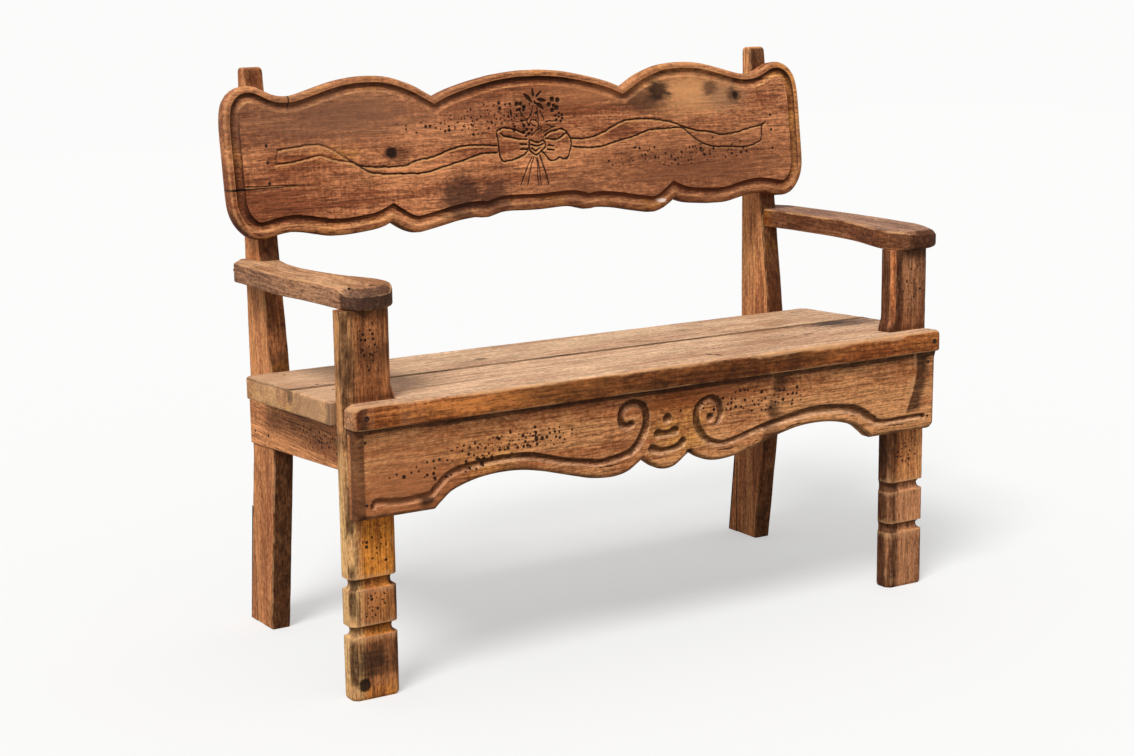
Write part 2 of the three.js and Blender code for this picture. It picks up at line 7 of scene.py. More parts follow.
import math

import bpy
import numpy as np
from mathutils import Matrix, Vector

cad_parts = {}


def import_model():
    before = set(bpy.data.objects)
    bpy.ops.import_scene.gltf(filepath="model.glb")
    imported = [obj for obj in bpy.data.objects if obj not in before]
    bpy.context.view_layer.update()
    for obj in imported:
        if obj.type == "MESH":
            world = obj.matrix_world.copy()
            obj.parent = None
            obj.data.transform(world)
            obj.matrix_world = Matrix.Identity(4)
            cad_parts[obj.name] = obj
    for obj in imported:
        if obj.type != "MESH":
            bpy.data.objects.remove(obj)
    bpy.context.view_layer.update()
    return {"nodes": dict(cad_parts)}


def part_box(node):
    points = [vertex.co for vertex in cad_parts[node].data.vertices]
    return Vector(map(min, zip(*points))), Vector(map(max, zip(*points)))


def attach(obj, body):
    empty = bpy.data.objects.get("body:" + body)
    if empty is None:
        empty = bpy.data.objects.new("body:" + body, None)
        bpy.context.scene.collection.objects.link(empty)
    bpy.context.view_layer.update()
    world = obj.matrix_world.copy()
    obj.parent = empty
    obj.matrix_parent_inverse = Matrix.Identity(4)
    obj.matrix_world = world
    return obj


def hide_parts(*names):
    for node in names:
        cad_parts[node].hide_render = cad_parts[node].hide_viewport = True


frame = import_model()

SHIFT = np.array([-10.25, -221.75, 0.0])  # from the maker's place to the frame's, in mm
JOINT = 0.3  # between pieces that touch


def metres(points):
    """The maker's millimetres as metres in the frame."""
    return (np.asarray(points, float) + SHIFT) / 1000


def drift(along, wavelength, seed):
    """Smooth chance values from about -1 to 1: five sines near the wavelength, chance phases."""
    waves, shortest, longest, highest = 5, 0.6, 2.2, 3.2
    chance = np.random.default_rng(seed)
    rates = 2 * np.pi / (wavelength * chance.uniform(shortest, longest, waves))
    phases = chance.uniform(0, 2 * np.pi, waves)
    return np.sin(np.multiply.outer(np.asarray(along, float), rates) + phases).sum(-1) / highest


def ease(value, low, high):
    """0 below low, 1 above high and a smooth step between them."""
    t = np.clip((value - low) / (high - low), 0, 1)
    return t * t * (3 - 2 * t)


def near(value, middle, full, gone):
    """1 within full of the middle, 0 beyond gone and a smooth step between them."""
    return 1 - ease(np.abs(value - middle), full, gone)


# Curves


def on_curve(points, corners, t):
    """Points on a closed curve at t, counted in spans: each span is a cubic whose end slopes are
    half the vector between the neighbours, or the span's own where a corner breaks it."""
    count = len(points)
    i = np.floor(t).astype(int) % count
    j = (i + 1) % count
    f = (t - np.floor(t))[:, None]
    b, c = points[i], points[j]
    a = np.where(corners[i][:, None], 2 * b - c, points[i - 1])
    d = np.where(corners[j][:, None], 2 * c - b, points[(j + 1) % count])
    cubic = (3 * b - a - 3 * c + d) * f**3 + (2 * a - 5 * b + 4 * c - d) * f**2
    return (cubic + (c - a) * f + 2 * b) / 2


def cut_spans(spans, step, first=0):
    """Places along a chain, counted in spans, that cut each span into pieces of about step."""
    counts = np.maximum(spans / step, 1).astype(int)
    return np.concatenate([i + np.arange(n) / n for i, n in enumerate(counts, first)])


def open_curve(points, step):
    """Points about step apart on the same kind of curve through open points; further columns,
    such as a width, run along with it."""
    p = np.asarray(points, float)
    ends = np.vstack([2 * p[0] - p[1], p, 2 * p[-1] - p[-2]])
    spans = np.linalg.norm(np.diff(p[:, :2], axis=0), axis=1)
    return on_curve(ends, np.zeros(len(ends), bool), np.append(cut_spans(spans, step, 1), len(p)))


def inset(outline, distance):
    """The outline moved into the wood: each point goes along its mitre by the given distance."""
    least_spread = 0.4  # keeps the mitre of a very sharp corner short
    before = outline - np.roll(outline, 1, axis=0)
    after = np.roll(outline, -1, axis=0) - outline
    before = before / np.linalg.norm(before, axis=1, keepdims=True)
    after = after / np.linalg.norm(after, axis=1, keepdims=True)
    normal = np.stack([-before[:, 1] - after[:, 1], before[:, 0] + after[:, 0]], 1)
    normal /= np.linalg.norm(normal, axis=1, keepdims=True)
    spread = np.maximum(normal[:, 0] * -after[:, 1] + normal[:, 1] * after[:, 0], least_spread)
    return outline + normal * (np.broadcast_to(distance, spread.shape) / spread)[:, None]


def sawn_outline(corners, radius=0.0, step=11.0):
    """A polygon with its corners rounded by quarter-like arcs and its edges cut into steps."""
    arc_points, edge_share = 5, 2.2  # an arc takes at most an edge's length over 2.2
    corners = np.asarray(corners, float)
    radius = np.broadcast_to(radius, len(corners))
    parts = []
    for i, corner in enumerate(corners):
        back = corners[i - 1] - corner
        on = corners[(i + 1) % len(corners)] - corner
        reach = min(radius[i], np.linalg.norm(back) / edge_share, np.linalg.norm(on) / edge_share)
        start = corner + back / np.linalg.norm(back) * reach
        stop = corner + on / np.linalg.norm(on) * reach
        t = np.linspace(0, 1, arc_points if reach > 0 else 1)[:, None]
        parts.append((1 - t) ** 2 * start + 2 * t * (1 - t) * corner + t**2 * stop)
    whole = []
    for part, following in zip(parts, parts[1:] + parts[:1]):
        start, stop = part[-1], following[0]
        count = max(int(np.linalg.norm(stop - start) / step), 1)
        t = (np.arange(1, count) / count)[:, None]
        whole += [part, start + (stop - start) * t]
    return np.vstack(whole)


def reach_of(points, lines):
    """Distance from each point to the nearest line, as a share of the line's half width there.
    Points in a box round each line are measured, in batches, to the nearest of its runs."""
    far, margin, batch = 9.0, 2.5, 3000000
    best = np.full(len(points), far)
    for line in lines:
        wide = line[:, 2].max() * margin
        low, high = line[:, :2].min(0) - wide, line[:, :2].max(0) + wide
        inside = np.flatnonzero(((points > low) & (points < high)).all(1))
        start, run = line[:-1, :2], np.diff(line[:, :2], axis=0)
        length = (run * run).sum(1)
        for part in np.array_split(inside, max(1, len(inside) * len(run) // batch)):
            gap = points[part][:, None, :] - start
            t = np.clip((gap * run).sum(-1) / length, 0, 1)
            away = np.linalg.norm(gap - t[..., None] * run, axis=-1)
            width = line[:-1, 2] + t * np.diff(line[:, 2])
            best[part] = np.minimum(best[part], (away / width).min(1))
    return best


# Meshes


def make_piece(name, points, faces, material, nodes=(), masks=None, sharp=40):
    """A mesh piece from points in mm, with vertex masks, riding on the bench's one body."""
    mesh = bpy.data.meshes.new(name)
    mesh.from_pydata(metres(points).tolist(), [], faces)
    for key, value in (masks or {}).items():
        layer = mesh.attributes.new(key, "FLOAT", "POINT")
        layer.data.foreach_set("value", np.ascontiguousarray(value, np.float32).ravel())
    mesh.shade_smooth()
    mesh.set_sharp_from_angle(angle=math.radians(sharp))
    mesh.materials.append(material)
    piece = bpy.data.objects.new(name, mesh)
    bpy.context.collection.objects.link(piece)
    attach(piece, "root")
    if nodes:
        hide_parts(*nodes)
    return piece


def ring_faces(levels, count, turned=False):
    """Quads between successive rings of the same count, and a cap at each end."""
    index = np.arange(levels * count).reshape(levels, count)
    ahead = np.roll(index, -1, axis=1)
    quads = np.stack([index[:-1], ahead[:-1], ahead[1:], index[1:]], -1).reshape(-1, 4)
    faces = quads.tolist() + [index[0][::-1].tolist(), index[-1].tolist()]
    return [face[::-1] for face in faces] if turned else faces


def ring_piece(name, rings, side, material, node, masks):
    """A closed piece from rings drawn for the right side, mirrored where the side is -1. Each
    mask is a number for each point, ring or place along a ring."""
    levels, count = rings.shape[:2]
    masks = {key: np.broadcast_to(value, (levels, count)) for key, value in masks.items()}
    points = rings.reshape(-1, 3) * (side, 1, 1)
    make_piece(name, points, ring_faces(levels, count, side < 0), material, [node], masks)


def slab(outline, thickness, arris, seed, low_arris=2.0, extra=()):
    """A plank with the given outline: rings up its side with a quarter-round below and above,
    whose radius drifts as on hand-worked wood. Extra rings are (inset, drop) past the upper
    round. Returns rings (levels, points, 3) and each level's share of edge wear."""
    uneven, wavelength, ledge = 0.22, 70, 1.3
    travel = np.append(0, np.cumsum(np.linalg.norm(np.diff(outline, axis=0), axis=1)))
    wander = 1 + uneven * drift(travel, wavelength, seed)
    up = np.linspace(0, np.pi / 2, 5)
    top_round = np.broadcast_to(arris, len(outline)) * wander
    low_round = np.broadcast_to(low_arris, len(outline)) * wander
    rings, wear = [], []

    def level(distance, height, worn):
        place = inset(outline, distance)
        rings.append(np.column_stack([place, np.broadcast_to(height, len(outline))]))
        wear.append(worn)

    level(low_round + ledge, 0, 0.0)
    for a, worn in zip(up, (0.3, 0.7, 0.9, 0.7, 0.2)):
        level(low_round * (1 - np.sin(a)), low_round * (1 - np.cos(a)), worn)
    for share in (0.3, 0.6):
        level(0, low_round + (thickness - top_round - low_round) * share, 0.0)
    for a, worn in zip(up[::-1], (0.2, 0.8, 1.0, 0.9, 0.4)):
        level(top_round * (1 - np.sin(a)), thickness - top_round * (1 - np.cos(a)), worn)
    for further, drop in extra or ((ledge, 0.0),):
        level(top_round + further, thickness - drop, 0.0)
    return np.array(rings), np.array(wear)[:, None]


def sideways(rings, x):
    """Turns a flat slab so that its thickness runs along X from x."""
    return np.stack([rings[..., 2] + x, rings[..., 0], rings[..., 1]], -1)


def facing(rings, y):
    """Turns a flat slab so that its thickness runs towards the front from y."""
    return np.stack([rings[..., 0], y - rings[..., 2], rings[..., 1]], -1)


def grid_faces(low_index, columns, rows):
    """Quads of a grid whose points are counted row by row."""
    index = low_index + np.arange(columns * rows).reshape(rows, columns)
    cells = [index[:-1, :-1], index[:-1, 1:], index[1:, 1:], index[1:, :-1]]
    return np.stack(cells, -1).reshape(-1, 4)


def carved_plank(curve, corner_at, columns_at, rows_at, levels, relief):
    """A plank whose front is a carved grid and whose edge is a moulding. The closed curve gives
    the outline at any distance into the wood; levels are (distance, height) from the back to
    the grid's own edge; relief gives the front's height change on flat points. The grid is the
    curved patch spanned by the last ring's four sides. Returns points, faces, the grid's flat
    points and the number of points round a ring."""
    right_low, right_high, left_high, left_low = corner_at
    last, fine_steps = levels[-1][0], 4000

    def height(value, t):
        if np.ndim(value) == 0:
            return np.full(len(t), value)
        places = np.arange(curve.spans + 1)
        return np.interp(np.mod(t, curve.spans), places, np.append(value, value[0]))

    def spread(t0, t1, key, targets):
        fine = np.linspace(t0, t1, fine_steps)
        return np.interp(targets, curve(last, fine)[:, key], fine)

    ends = curve(last, np.array([left_low, right_low, right_high, left_high], float))
    u, v = np.asarray(columns_at), np.asarray(rows_at)
    low_t = spread(left_low, right_low, 0, ends[0, 0] + u * (ends[1, 0] - ends[0, 0]))
    high_t = spread(left_high, right_high, 0, ends[3, 0] + u * (ends[2, 0] - ends[3, 0]))
    right_t = spread(right_low, right_high, 1, ends[1, 1] + v * (ends[2, 1] - ends[1, 1]))
    left_t = spread(left_low + curve.spans, left_high, 1, ends[0, 1] + v * (ends[3, 1] - ends[0, 1]))
    low, high = curve(last, low_t), curve(last, high_t)
    left, right = curve(last, left_t), curve(last, right_t)
    uu, vv = u[None, :, None], v[:, None, None]
    flat = (1 - vv) * low + vv * high + (1 - uu) * left[:, None] + uu * right[:, None]
    flat -= (1 - uu) * ((1 - vv) * low[0] + vv * high[0]) + uu * ((1 - vv) * low[-1] + vv * high[-1])
    grid = flat.reshape(-1, 2)
    across, rows = len(u), len(v)
    index = np.arange(rows * across).reshape(rows, across)
    edge = np.concatenate([index[0], index[1:, -1], index[-1, -2::-1], index[-2:0:-1, 0]])
    edge_t = np.concatenate([low_t, right_t[1:], high_t[-2::-1], left_t[-2:0:-1]])
    rings = [np.column_stack([curve(d, edge_t), height(h, edge_t)]) for d, h in levels[:-1]]
    points = np.vstack(rings + [np.column_stack([grid, levels[-1][1] + relief(grid)])])
    base = len(edge) * (len(levels) - 1)
    ladder = np.vstack([np.arange(base).reshape(-1, len(edge)), base + edge])
    ahead = np.roll(ladder, -1, axis=1)
    quads = np.stack([ladder[:-1], ahead[:-1], ahead[1:], ladder[1:]], -1).reshape(-1, 4)
    faces = quads.tolist() + grid_faces(base, across, rows).tolist() + [ladder[0][::-1].tolist()]
    return points, faces, grid, len(edge)


def walls(height, flat, rows):
    """How much each point of a carved grid faces down and up: the height's change per mm up."""
    steep = 1.3
    up = flat.reshape(rows, -1, 2)[..., 1]
    rise = steep * np.gradient(height.reshape(rows, -1), axis=0) / np.gradient(up, axis=0)
    return np.clip(rise, 0, 1).ravel(), np.clip(-rise, 0, 1).ravel()


def graded(dense_from, dense_to, low, high, fine, coarse):
    """Shares from 0 to 1 along a run, closely spaced between two places and wider outside."""
    samples, blur = 6000, 40
    place = np.linspace(low, high, samples)
    pace = np.where((place > dense_from) & (place < dense_to), fine, coarse)
    window = np.ones(2 * blur + 1) / (2 * blur + 1)
    pace = np.convolve(np.pad(pace, blur, mode="edge"), window, mode="valid")
    count = np.append(0, np.cumsum((place[1] - place[0]) / pace[1:]))
    return np.interp(np.linspace(0, count[-1], int(count[-1]) + 1), count, (place - low) / (high - low))


# Shader building


def tone(red, green, blue):
    """A colour given as it looks on a screen, for a shader."""
    def to_linear(c):
        c = c / 255
        return c / 12.92 if c <= 0.04045 else ((c + 0.055) / 1.055) ** 2.4
    return (to_linear(red), to_linear(green), to_linear(blue), 1.0)


class Sheet:
    """A node tree with short calls for the nodes that the wood needs."""

    def __init__(self, tree):
        self.tree = tree

    def put(self, kind, inputs=(), **settings):
        """A new node with its settings, each input given a value or linked."""
        node = self.tree.nodes.new(kind)
        for key, value in settings.items():
            setattr(node, key, value)
        for key, value in dict(inputs).items():
            self.feed(node.inputs[key], value)
        return node

    def feed(self, socket, value):
        if isinstance(value, bpy.types.NodeSocket):
            self.tree.links.new(value, socket)
        else:
            socket.default_value = value

    def math(self, kind, *terms, clamp=False):
        inputs = dict(enumerate(terms))
        return self.put("ShaderNodeMath", inputs, operation=kind, use_clamp=clamp).outputs[0]

    def times(self, a, b):
        return self.math("MULTIPLY", a, b)

    def plus(self, a, b, clamp=False):
        return self.math("ADD", a, b, clamp=clamp)

    def minus(self, a, b):
        return self.math("SUBTRACT", a, b)

    def vector(self, kind, a, b=(0, 0, 0)):
        node = self.put("ShaderNodeVectorMath", {0: a, 1: b}, operation=kind)
        return node.outputs["Value" if kind == "LENGTH" else "Vector"]

    def noise(self, place, stretch, detail=3.0, rough=0.55, output="Fac"):
        """Noise whose features are 1 over stretch metres long on each axis."""
        inputs = {"Vector": self.vector("MULTIPLY", place, stretch), "Scale": 1.0, "Detail": detail,
                  "Roughness": rough}
        return self.put("ShaderNodeTexNoise", inputs).outputs[output]

    def step(self, value, low, high, to_low=0.0, to_high=1.0):
        keys = ("Value", "From Min", "From Max", "To Min", "To Max")
        inputs = dict(zip(keys, (value, low, high, to_low, to_high)))
        return self.put("ShaderNodeMapRange", inputs, interpolation_type="SMOOTHSTEP").outputs["Result"]

    def mix(self, share, a, b, kind="MIX"):
        return self.put("ShaderNodeMix", {0: share, 6: a, 7: b}, data_type="RGBA", blend_type=kind,
                        clamp_factor=True).outputs[2]

    def mask(self, name):
        return self.put("ShaderNodeAttribute", attribute_name=name).outputs["Fac"]

    def group(self, tree, **inputs):
        inputs = {key.replace("_", " "): value for key, value in inputs.items()}
        return self.put("ShaderNodeGroup", inputs, node_tree=tree).outputs


def fresh_sheet(holder):
    """The emptied node tree of a new material or world."""
    holder.use_nodes = True
    holder.node_tree.nodes.clear()
    return Sheet(holder.node_tree)


F, V, C = "NodeSocketFloat", "NodeSocketVector", "NodeSocketColor"


def new_group(name, inputs, outputs):
    """A node group with its sockets made: its tree, sheet, given inputs and results to feed."""
    tree = bpy.data.node_groups.new(name, "ShaderNodeTree")
    for kind, label, value in inputs:
        socket = tree.interface.new_socket(label, in_out="INPUT", socket_type=kind)
        if value is not None:
            socket.default_value = value
    for kind, label in outputs:
        tree.interface.new_socket(label, in_out="OUTPUT", socket_type=kind)
    sheet = Sheet(tree)
    return tree, sheet, sheet.put("NodeGroupInput").outputs, sheet.put("NodeGroupOutput").inputs


def pine_group():
    """Sawn pine. The grain runs along the place's X, and growth rings lie round that axis: a
    ring is the distance from it over the ring width, warped by slow noise, and darkens towards
    its late wood. Fine noise stretched along X makes fibres and pores, slow noise old stain."""
    tree, s, i, o = new_group("pine", [
        (V, "Place", None), (C, "Pale", tone(205, 160, 118)), (C, "Stained", tone(150, 96, 62)),
        (C, "Dark", tone(84, 46, 26)), (F, "Bare", 0.0), (C, "Bare pale", tone(222, 184, 152)),
        (C, "Bare stained", tone(186, 138, 106)), (F, "Ochre", 0.0),
        (C, "Ochre pale", tone(240, 164, 72)), (C, "Ochre stained", tone(158, 82, 26)),
        (F, "Ring", 0.007), (F, "Figure", 0.5), (F, "Stain", 1.0), (F, "Pores", 0.5), (F, "Mottle", 1.0)],
        [(C, "Colour"), (F, "Height"), (F, "Rough")])
    place = i["Place"]
    wave = s.noise(place, (2.2, 9, 9), 2.0, 0.5, "Color")
    bend = s.vector("MULTIPLY", s.vector("SUBTRACT", wave, (0.5, 0.5, 0.5)), (0, 0.045, 0.045))
    warped = s.vector("ADD", place, bend)
    radius = s.vector("LENGTH", s.vector("MULTIPLY", warped, (0.02, 1, 1)))
    ring = s.math("FRACT", s.math("DIVIDE", radius, i["Ring"]))
    late = s.times(s.math("POWER", ring, 2.6), s.step(ring, 1.0, 0.9))
    late = s.times(late, s.step(s.noise(place, (5, 60, 60), 1.0), 0.25, 0.75, 0.35, 1.0))
    fibre = s.noise(place, (20, 440, 440), 3.0, 0.6)
    coarse = s.noise(place, (8, 170, 170), 4.0, 0.62)
    mottle = s.noise(place, (120, 250, 250), 5.0, 0.7)
    saw = s.noise(place, (340, 16, 16), 2.0, 0.5)
    pore = s.step(s.noise(place, (110, 560, 560), 2.0, 0.6), 0.58, 0.7)
    old = s.noise(place, (6, 20, 20), 6.0, 0.66)
    slow = s.noise(place, (2.6, 6, 6), 3.0, 0.5)
    band = s.noise(warped, (1.3, 34, 34), 3.0, 0.5)
    blotch = s.plus(s.times(old, 0.6), s.times(slow, 0.4))

    def about_half(value, low, high, weight):
        return s.times(s.minus(s.step(value, low, high), 0.5), weight)

    amount = s.math("MULTIPLY_ADD", about_half(blotch, 0.36, 0.63, 1.0), i["Stain"], 0.5)
    amount = s.plus(amount, about_half(band, 0.38, 0.62, 0.6))
    amount = s.plus(amount, about_half(coarse, 0.33, 0.67, 0.45))
    amount = s.math("MULTIPLY_ADD", about_half(mottle, 0.34, 0.66, 0.4), i["Mottle"], amount)
    amount = s.plus(amount, about_half(saw, 0.35, 0.65, 0.22), clamp=True)
    stained = s.mix(amount, i["Stained"], i["Pale"])
    ochre = s.mix(amount, i["Ochre stained"], i["Ochre pale"])
    bare_and_lit = s.mix(amount, i["Bare stained"], i["Bare pale"])

    level = s.math("MULTIPLY_ADD", s.minus(old, 0.5), 1.1, i["Ochre"])
    patches = s.times(s.step(level, 0.12, 0.88), s.step(i["Ochre"], 0.0, 0.15))
    colour = s.mix(i["Bare"], s.mix(patches, stained, ochre), bare_and_lit)
    for share in (s.times(late, i["Figure"]), s.times(s.step(fibre, 0.52, 0.33), 0.45),
                  s.times(pore, i["Pores"])):
        colour = s.mix(share, colour, i["Dark"])
    grey = s.step(s.plus(s.times(fibre, 0.4), s.times(mottle, 0.6)), 0.35, 0.66, 0.66, 1.34)
    shade = s.put("ShaderNodeCombineColor", dict.fromkeys(("Red", "Green", "Blue"), grey)).outputs[0]
    s.feed(o["Colour"], s.mix(1.0, colour, shade, "MULTIPLY"))
    height = s.plus(s.times(fibre, 0.5), s.times(late, 0.35))
    height = s.plus(s.plus(height, s.times(mottle, 0.5)), s.times(coarse, 0.6))
    s.feed(o["Height"], s.minus(height, s.times(pore, 0.7)))
    s.feed(o["Rough"], s.step(amount, 0.0, 1.0, 0.5, 0.66))
    return tree


def age_group():
    """Wear, painted shade and painted highlights over the pine, from masks on the surface: dark
    grime with painted shade, pale worn arrises with painted highlights, and carved lines with
    painted shadow lines, each broken up by noise."""
    tree, s, i, o = new_group("age", [
        (V, "Place", None), (C, "Colour", None), (F, "Worn", 0.0), (F, "Grime", 0.0), (F, "Carved", 0.0),
        (C, "Worn colour", tone(220, 166, 116)), (C, "Grime colour", tone(54, 26, 13)),
        (C, "Line colour", tone(40, 20, 11))], [(C, "Colour"), (F, "Rough")])
    broken = s.noise(i["Place"], (55, 150, 150), 4.0, 0.65)
    soft = s.noise(i["Place"], (14, 40, 40), 5.0, 0.65)

    def patchy(mask, breaker, edge, give, least):
        level = s.math("MULTIPLY_ADD", s.minus(breaker, 0.5), give, mask)
        return s.times(s.step(level, 0.5 - edge, 0.5 + edge), s.step(mask, 0.0, least))

    dark = s.times(patchy(i["Grime"], soft, 0.45, 1.2, 0.12), s.step(broken, 0.25, 0.75, 1.0, 0.72))
    colour = s.mix(s.times(dark, 0.93), i["Colour"], i["Grime colour"])
    rub = patchy(i["Worn"], broken, 0.35, 1.3, 0.25)
    colour = s.mix(s.times(rub, 0.62), colour, i["Worn colour"])
    line = s.step(i["Carved"], 0.1, 0.8)
    s.feed(o["Colour"], s.mix(s.times(line, 0.92), colour, i["Line colour"]))
    s.feed(o["Rough"], s.times(rub, 0.12))
    return tree


def holes_group():
    """Insect holes: chance cells on a flat place, with a round dark dot in those cells that
    chance keeps, fewer towards the edge of an oval region."""
    tree, s, i, o = new_group("insect_holes", [
        (V, "Flat", None), (V, "Centre", None), (V, "Reach", (0.1, 0.1, 1.0)), (F, "Share", 0.5),
        (F, "Cell", 0.008)], [(F, "Mask")])
    cell = s.put("ShaderNodeCombineXYZ", dict.fromkeys("XYZ", i["Cell"])).outputs[0]
    cells = s.put("ShaderNodeTexVoronoi", {"Vector": s.vector("DIVIDE", i["Flat"], cell), "Scale": 1.0},
                  voronoi_dimensions="2D").outputs
    pick = s.put("ShaderNodeSeparateColor", {"Color": cells["Color"]}).outputs
    away = s.vector("LENGTH", s.vector("DIVIDE", s.vector("SUBTRACT", i["Flat"], i["Centre"]), i["Reach"]))
    kept = s.math("LESS_THAN", pick["Red"], s.times(s.step(away, 1.0, 0.4), i["Share"]))
    size = s.plus(s.times(s.math("POWER", pick["Green"], 2.0), 0.22), 0.15)
    dot = s.step(s.math("DIVIDE", cells["Distance"], size), 1.2, 0.8)
    s.feed(o["Mask"], s.times(dot, kept))
    return tree


def spot_group():
    """A soft oval mark, such as a knot, a stain or a chip: 1 inside its reach, 0 outside, its
    edge moved by noise."""
    tree, s, i, o = new_group("spot", [
        (V, "Flat", None), (V, "Centre", None), (V, "Reach", (0.01, 0.01, 1.0)), (F, "Ragged", 0.5),
        (F, "Soft", 0.3)], [(F, "Mask")])
    away = s.vector("LENGTH", s.vector("DIVIDE", s.vector("SUBTRACT", i["Flat"], i["Centre"]), i["Reach"]))
    ragged = s.minus(s.noise(i["Flat"], (60, 140, 1), 3.0), 0.5)
    away = s.plus(away, s.times(ragged, s.times(i["Ragged"], 2.0)))
    s.feed(o["Mask"], s.step(away, s.plus(1.0, i["Soft"]), s.minus(1.0, i["Soft"])))
    return tree


PINE, AGE, HOLES, SPOT = pine_group(), age_group(), holes_group(), spot_group()
GRAIN_TURN = {"X": (0, 0, 0), "Y": (0, 0, -math.pi / 2), "Z": (0, math.pi / 2, 0)}
HOLE_COLOUR = tone(34, 17, 9)


def wood(name, grain, pith, flat, plain, bare_and_lit=(), ochre=(), holes=(), spots=(), worn=(), grime_and_shade=(),
         **pine):
    """A pine finish. Pith is a point in mm on the axis that the growth rings lie round. Plain is
    three screen colours, pale, stained and dark; bare, whose colours the bare mask also uses for
    painted highlights, and ochre are two each, pale and stained; worn and grime, whose colour the
    grime mask also uses for painted shade, are one each. Holes are (u, v, reach u, reach v, share,
    cell) and spots (u, v, reach u, reach v, colour, strength, ragged, soft), in mm on the flat place."""
    material = bpy.data.materials.new(name)
    s = fresh_sheet(material)
    here = s.put("ShaderNodeTexCoord").outputs["Object"]
    from_pith = s.vector("SUBTRACT", here, tuple(metres(pith)))
    turned = s.put("ShaderNodeMapping", {"Vector": from_pith, "Rotation": GRAIN_TURN[grain]}).outputs[0]
    labels = ("Pale", "Stained", "Dark", "Bare_pale", "Bare_stained", "Ochre_pale", "Ochre_stained")
    colours = (*plain, *(bare_and_lit or (None, None)), *(ochre or (None, None)))
    pine |= {label: tone(*colour) for label, colour in zip(labels, colours) if colour}
    # The bare mask also paints highlights and the grime mask also paints shade, where light from above would
    # fall
    body = s.group(PINE, Place=turned, Ochre=s.mask("ochre"), Bare=s.mask("bare_and_lit"), **pine)
    shades = {"Worn_colour": worn, "Grime_colour": grime_and_shade}
    aged = s.group(AGE, Place=turned, Colour=body["Colour"], Worn=s.mask("worn"), Grime=s.mask("grime_and_shade"),
                   Carved=s.mask("carved"), **{label: tone(*c) for label, c in shades.items() if c})
    colour, height = aged["Colour"], body["Height"]
    axes = s.put("ShaderNodeSeparateXYZ", {"Vector": here}).outputs
    plane = s.put("ShaderNodeCombineXYZ", {"X": axes[flat[0]], "Y": axes[flat[1]], "Z": 0.0}).outputs[0]
    offset = [SHIFT["XYZ".index(axis)] for axis in flat]

    def mark(tree, u, v, reach_u, reach_v, **inputs):
        centre = ((u + offset[0]) / 1000, (v + offset[1]) / 1000, 0)
        reach = (reach_u / 1000, reach_v / 1000, 1.0)
        return s.group(tree, Flat=plane, Centre=centre, Reach=reach, **inputs)["Mask"]

    uncut = s.step(s.mask("carved"), 0.6, 0.8, 1.0, 0.0)  # marks lie on the face, not in the cuts
    for *oval, shade, strength, ragged, soft in spots:
        share = s.times(s.times(mark(SPOT, *oval, Ragged=ragged, Soft=soft), strength), uncut)
        colour = s.mix(share, colour, tone(*shade))
    pits = None
    for *oval, share, cell in holes:
        mask = mark(HOLES, *oval, Share=share, Cell=cell / 1000)
        pits = mask if pits is None else s.math("MAXIMUM", pits, mask)
    if pits is not None:
        colour = s.mix(s.times(pits, 0.94), colour, HOLE_COLOUR)
        height = s.minus(height, s.times(pits, 2.5))
    dent = s.put("ShaderNodeBump", {"Height": height, "Strength": 0.35, "Distance": 0.0007}).outputs[0]
    skin = s.put("ShaderNodeBsdfPrincipled", {
        "Base Color": colour, "Normal": dent, "Roughness": s.plus(body["Rough"], aged["Rough"]),
        "Specular IOR Level": 0.14})
    s.put("ShaderNodeOutputMaterial", {"Surface": skin.outputs[0]})
    return material


def nail_iron():
    """Old nail iron: dark scale with rust in slow noise."""
    material = bpy.data.materials.new("nail_iron")
    s = fresh_sheet(material)
    here = s.put("ShaderNodeTexCoord").outputs["Object"]
    rust = s.step(s.noise(here, (420, 420, 420), 4.0, 0.6), 0.4, 0.62)
    dent = s.put("ShaderNodeBump", {"Height": rust, "Strength": 0.5, "Distance": 0.0003}).outputs[0]
    skin = s.put("ShaderNodeBsdfPrincipled", {
        "Base Color": s.mix(rust, tone(34, 26, 22), tone(82, 46, 28)), "Normal": dent,
        "Metallic": s.step(rust, 0.0, 1.0, 0.6, 0.05), "Roughness": s.step(rust, 0.0, 1.0, 0.5, 0.85)})
    s.put("ShaderNodeOutputMaterial", {"Surface": skin.outputs[0]})
    return material


# Backrest board. Its face is drawn flat: X along the bench and S up the slope from the seat.

SEAT_DEPTH, SEAT_REAR, REAR_POST_DEPTH, REAR_POST_TOP, BACK_HEIGHT = 357.0, 447.0, 87.0, 23.2, 934.0
RECLINE = (REAR_POST_DEPTH - REAR_POST_TOP) / (BACK_HEIGHT - SEAT_REAR)
LEAN = math.atan(RECLINE)
BOARD_THICK, BOARD_HIGH, BOARD_REACH = 25.0, 264.0, 573.3
BOARD_FOOT = (598.5 + 51.8 - SEAT_REAR) / math.cos(LEAN)  # the left arm's height and the rise above it

